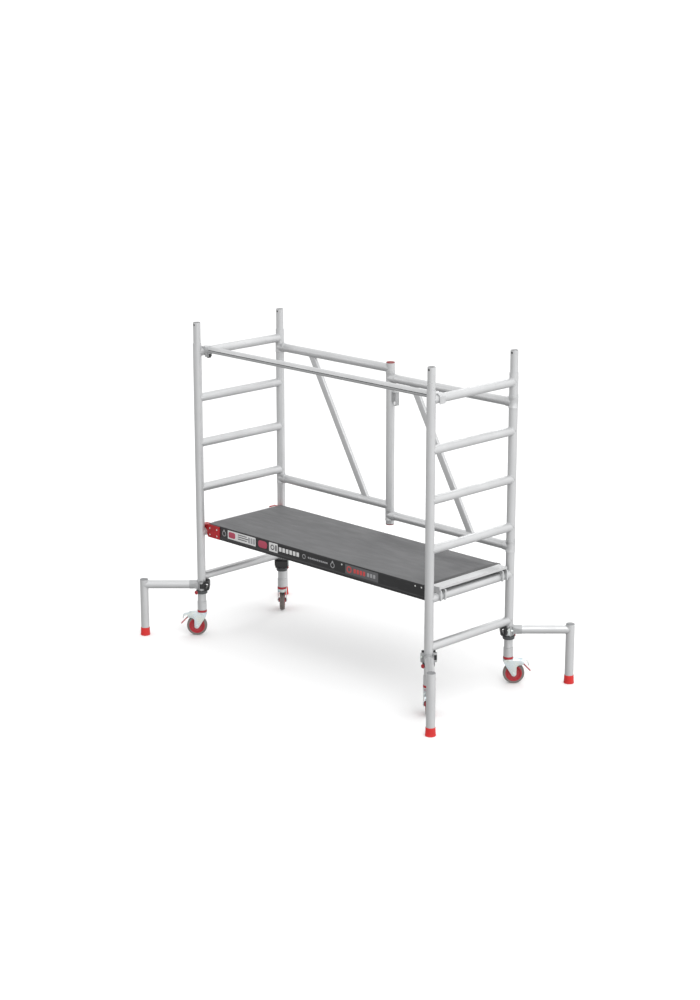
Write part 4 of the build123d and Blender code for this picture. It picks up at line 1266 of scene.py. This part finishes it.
def make_stage(stage):
    """Pale floor, plain sky, soft lights and the camera."""
    floor = Finish("floor", (stage.floor_tone,) * 3, 0.8)
    cloud = floor.noise(0.8, 2.0)
    floor.paint(floor.mixed(floor.ranged(cloud, 0, 1), floor.shade(0.99), floor.shade(1.0)))
    half = 300.0
    mesh = bpy.data.meshes.new("floor")
    corners = [(-half, -half, 0), (half, -half, 0), (half, half, 0), (-half, half, 0)]
    mesh.from_pydata([(x, y, -0.2 * MM) for x, y, _ in corners], [], [(0, 1, 2, 3)])
    mesh.materials.append(floor.material)
    plane = bpy.data.objects.new("floor", mesh)
    bpy.context.scene.collection.objects.link(plane)
    plane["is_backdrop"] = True

    plane.visible_diffuse = plane.visible_glossy = False

    world = bpy.data.worlds.new("studio")
    world.use_nodes = True
    tree = world.node_tree
    direction = tree.nodes.new("ShaderNodeTexCoord")
    toward = tree.nodes.new("ShaderNodeVectorMath")
    toward.operation = "DOT_PRODUCT"
    toward.inputs[1].default_value = unit((0.5, 0.25, 0.8))
    level = tree.nodes.new("ShaderNodeMapRange")
    level.inputs["From Min"].default_value = -1
    level.inputs["To Min"].default_value = stage.sky * 0.34
    level.inputs["To Max"].default_value = stage.sky * 1.55
    tree.nodes["Background"].inputs["Color"].default_value = (1, 1, 1, 1)
    tree.links.new(direction.outputs["Generated"], toward.inputs[0])
    tree.links.new(toward.outputs["Value"], level.inputs["Value"])
    tree.links.new(level.outputs["Result"], tree.nodes["Background"].inputs["Strength"])
    bpy.context.scene.world = world
    bpy.context.scene.view_settings.view_transform = "Standard"

    low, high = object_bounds()
    middle = np.array((0, 0, (low.z + high.z) / 2))
    azimuth, elevation = stage.azimuth, stage.elevation
    flat = math.cos(elevation)
    back = np.array((math.sin(azimuth) * flat, -math.cos(azimuth) * flat, math.sin(elevation)))
    data = bpy.data.cameras.new("camera")
    data.lens, data.sensor_width = stage.lens, 36.0
    data.clip_end = 500.0
    camera = bpy.data.objects.new("camera", data)
    bpy.context.scene.collection.objects.link(camera)
    camera.location = middle + stage.distance * back
    camera.rotation_euler = Vector(-back).to_track_quat("-Z", "Y").to_euler()
    bpy.context.scene.camera = camera

    soft_light("key", 2.5, 260 * stage.key, (4.2, -2.0, 4.6), (0, 0, 0.8))
    soft_light("fill", 3.5, 110 * stage.key, (-4.5, -4.5, 3.0), (0, 0, 0.8))
    soft_light("rim", 2.0, 120 * stage.key, (-2.0, 5.0, 4.0), (0, 0, 1.0))


# Operators: one for each piece or group of like pieces, and one for the stage.


class TOWER_OT_end_frames(bpy.types.Operator):
    """Build the posts, rungs and welds of both end frames, and the spigots"""

    bl_idname = "tower.end_frames"
    bl_label = "End frames"

    def execute(self, context):
        for side in SIDES:
            make_end_frame(side, context.scene.tower_sizes)
        make_spigots()
        return {"FINISHED"}


class TOWER_OT_gates(bpy.types.Operator):
    """Build both rear gates, the middle post and the bracket of its fold lock"""

    bl_idname = "tower.gates"
    bl_label = "Rear gates"

    def execute(self, context):
        sizes = context.scene.tower_sizes
        half = 32.5 * MM
        left = (LEFT_GATE_LOW + half, LEFT_GATE_HIGH - half)
        right = (RIGHT_GATE_LOW + half, RIGHT_GATE_HIGH - half)
        make_gate("left", left, (-675 * MM, -192 * MM), [(-POST_X, 1)], sizes)
        make_gate("right", right, (178 * MM, 662 * MM), [(0, 1), (POST_X, -1)], sizes)
        make_mid_post()
        bracket = MATERIALS["casting"]
        dressed("lock_bracket", "fold_lock_bracket", bracket, "tower", 1.2 * MM)
        return {"FINISHED"}


class TOWER_OT_legs(bpy.types.Operator):
    """Build the telescopic legs, their locks and the bands round the posts"""

    bl_idname = "tower.legs"
    bl_label = "Legs and locks"

    def execute(self, context):
        corners = [Corner(name) for name in CORNERS]
        for corner in corners:
            make_leg(corner)
            make_lock(corner)
        make_lock_bands(corners)
        return {"FINISHED"}


class TOWER_OT_casters(bpy.types.Operator):
    """Build the forks, wheels, tyres and brakes"""

    bl_idname = "tower.casters"
    bl_label = "Casters"

    def execute(self, context):
        for corner in [Corner(name) for name in CORNERS]:
            make_fork(corner)
            make_wheel(corner, context.scene.tower_sizes)
            make_brake(corner)
        return {"FINISHED"}


class TOWER_OT_stabilisers(bpy.types.Operator):
    """Build the stabilisers with their clamps, latches and feet"""

    bl_idname = "tower.stabilisers"
    bl_label = "Stabilisers"

    def execute(self, context):
        for corner in [Corner(name) for name in CORNERS]:
            make_stabiliser(corner, context.scene.tower_sizes)
            make_latch(corner)
        return {"FINISHED"}


class TOWER_OT_deck(bpy.types.Operator):
    """Build the deck board, its rails, profiles, claws and rivets"""

    bl_idname = "tower.deck"
    bl_label = "Deck"

    def execute(self, context):
        make_deck()
        make_profiles()
        return {"FINISHED"}


class TOWER_OT_marks(bpy.types.Operator):
    """Lay the printed films on the front rail"""

    bl_idname = "tower.marks"
    bl_label = "Rail marks"

    def execute(self, context):
        make_marks()
        return {"FINISHED"}


class TOWER_OT_guard(bpy.types.Operator):
    """Build the guard rail with its hooks and triggers"""

    bl_idname = "tower.guard"
    bl_label = "Guard rail"

    def execute(self, context):
        make_guard(context.scene.tower_sizes)
        return {"FINISHED"}


class TOWER_OT_stage(bpy.types.Operator):
    """Lay the floor and set the lights and the camera"""

    bl_idname = "tower.stage"
    bl_label = "Stage"

    def execute(self, context):
        make_stage(context.scene.tower_stage)
        return {"FINISHED"}


class TOWER_PT_panel(bpy.types.Panel):
    """Lists the steps and settings of the tower"""

    bl_idname = "TOWER_PT_panel"
    bl_label = "Mobile tower scaffold"
    bl_space_type = "VIEW_3D"
    bl_region_type = "UI"
    bl_category = "Scaffold"

    def draw(self, context):
        for group in ("tower_sizes", "tower_colours", "tower_stage"):
            settings = getattr(context.scene, group)
            column = self.layout.column()
            for name in settings.__annotations__:
                column.prop(settings, name)
        for step in STEPS:
            self.layout.operator(step.bl_idname)


STEPS = (
    TOWER_OT_end_frames,
    TOWER_OT_gates,
    TOWER_OT_legs,
    TOWER_OT_casters,
    TOWER_OT_stabilisers,
    TOWER_OT_deck,
    TOWER_OT_marks,
    TOWER_OT_guard,
    TOWER_OT_stage,
)
SETTINGS = {"tower_sizes": TowerSizes, "tower_colours": TowerColours, "tower_stage": TowerStage}


def register():
    """Register the settings, the steps and the panel."""
    for group in (*SETTINGS.values(), *STEPS, TOWER_PT_panel):
        bpy.utils.register_class(group)
    for name, group in SETTINGS.items():
        setattr(bpy.types.Scene, name, PointerProperty(type=group))


def unregister():
    """Take everything back out."""
    for name in SETTINGS:
        delattr(bpy.types.Scene, name)
    for group in (TOWER_PT_panel, *reversed(STEPS), *SETTINGS.values()):
        bpy.utils.unregister_class(group)


def main():
    """Build every piece in order."""
    register()
    make_materials(bpy.context.scene.tower_colours)
    for step in STEPS:
        space, name = step.bl_idname.split(".")
        getattr(getattr(bpy.ops, space), name)()


if __name__ == "__main__":
    main()
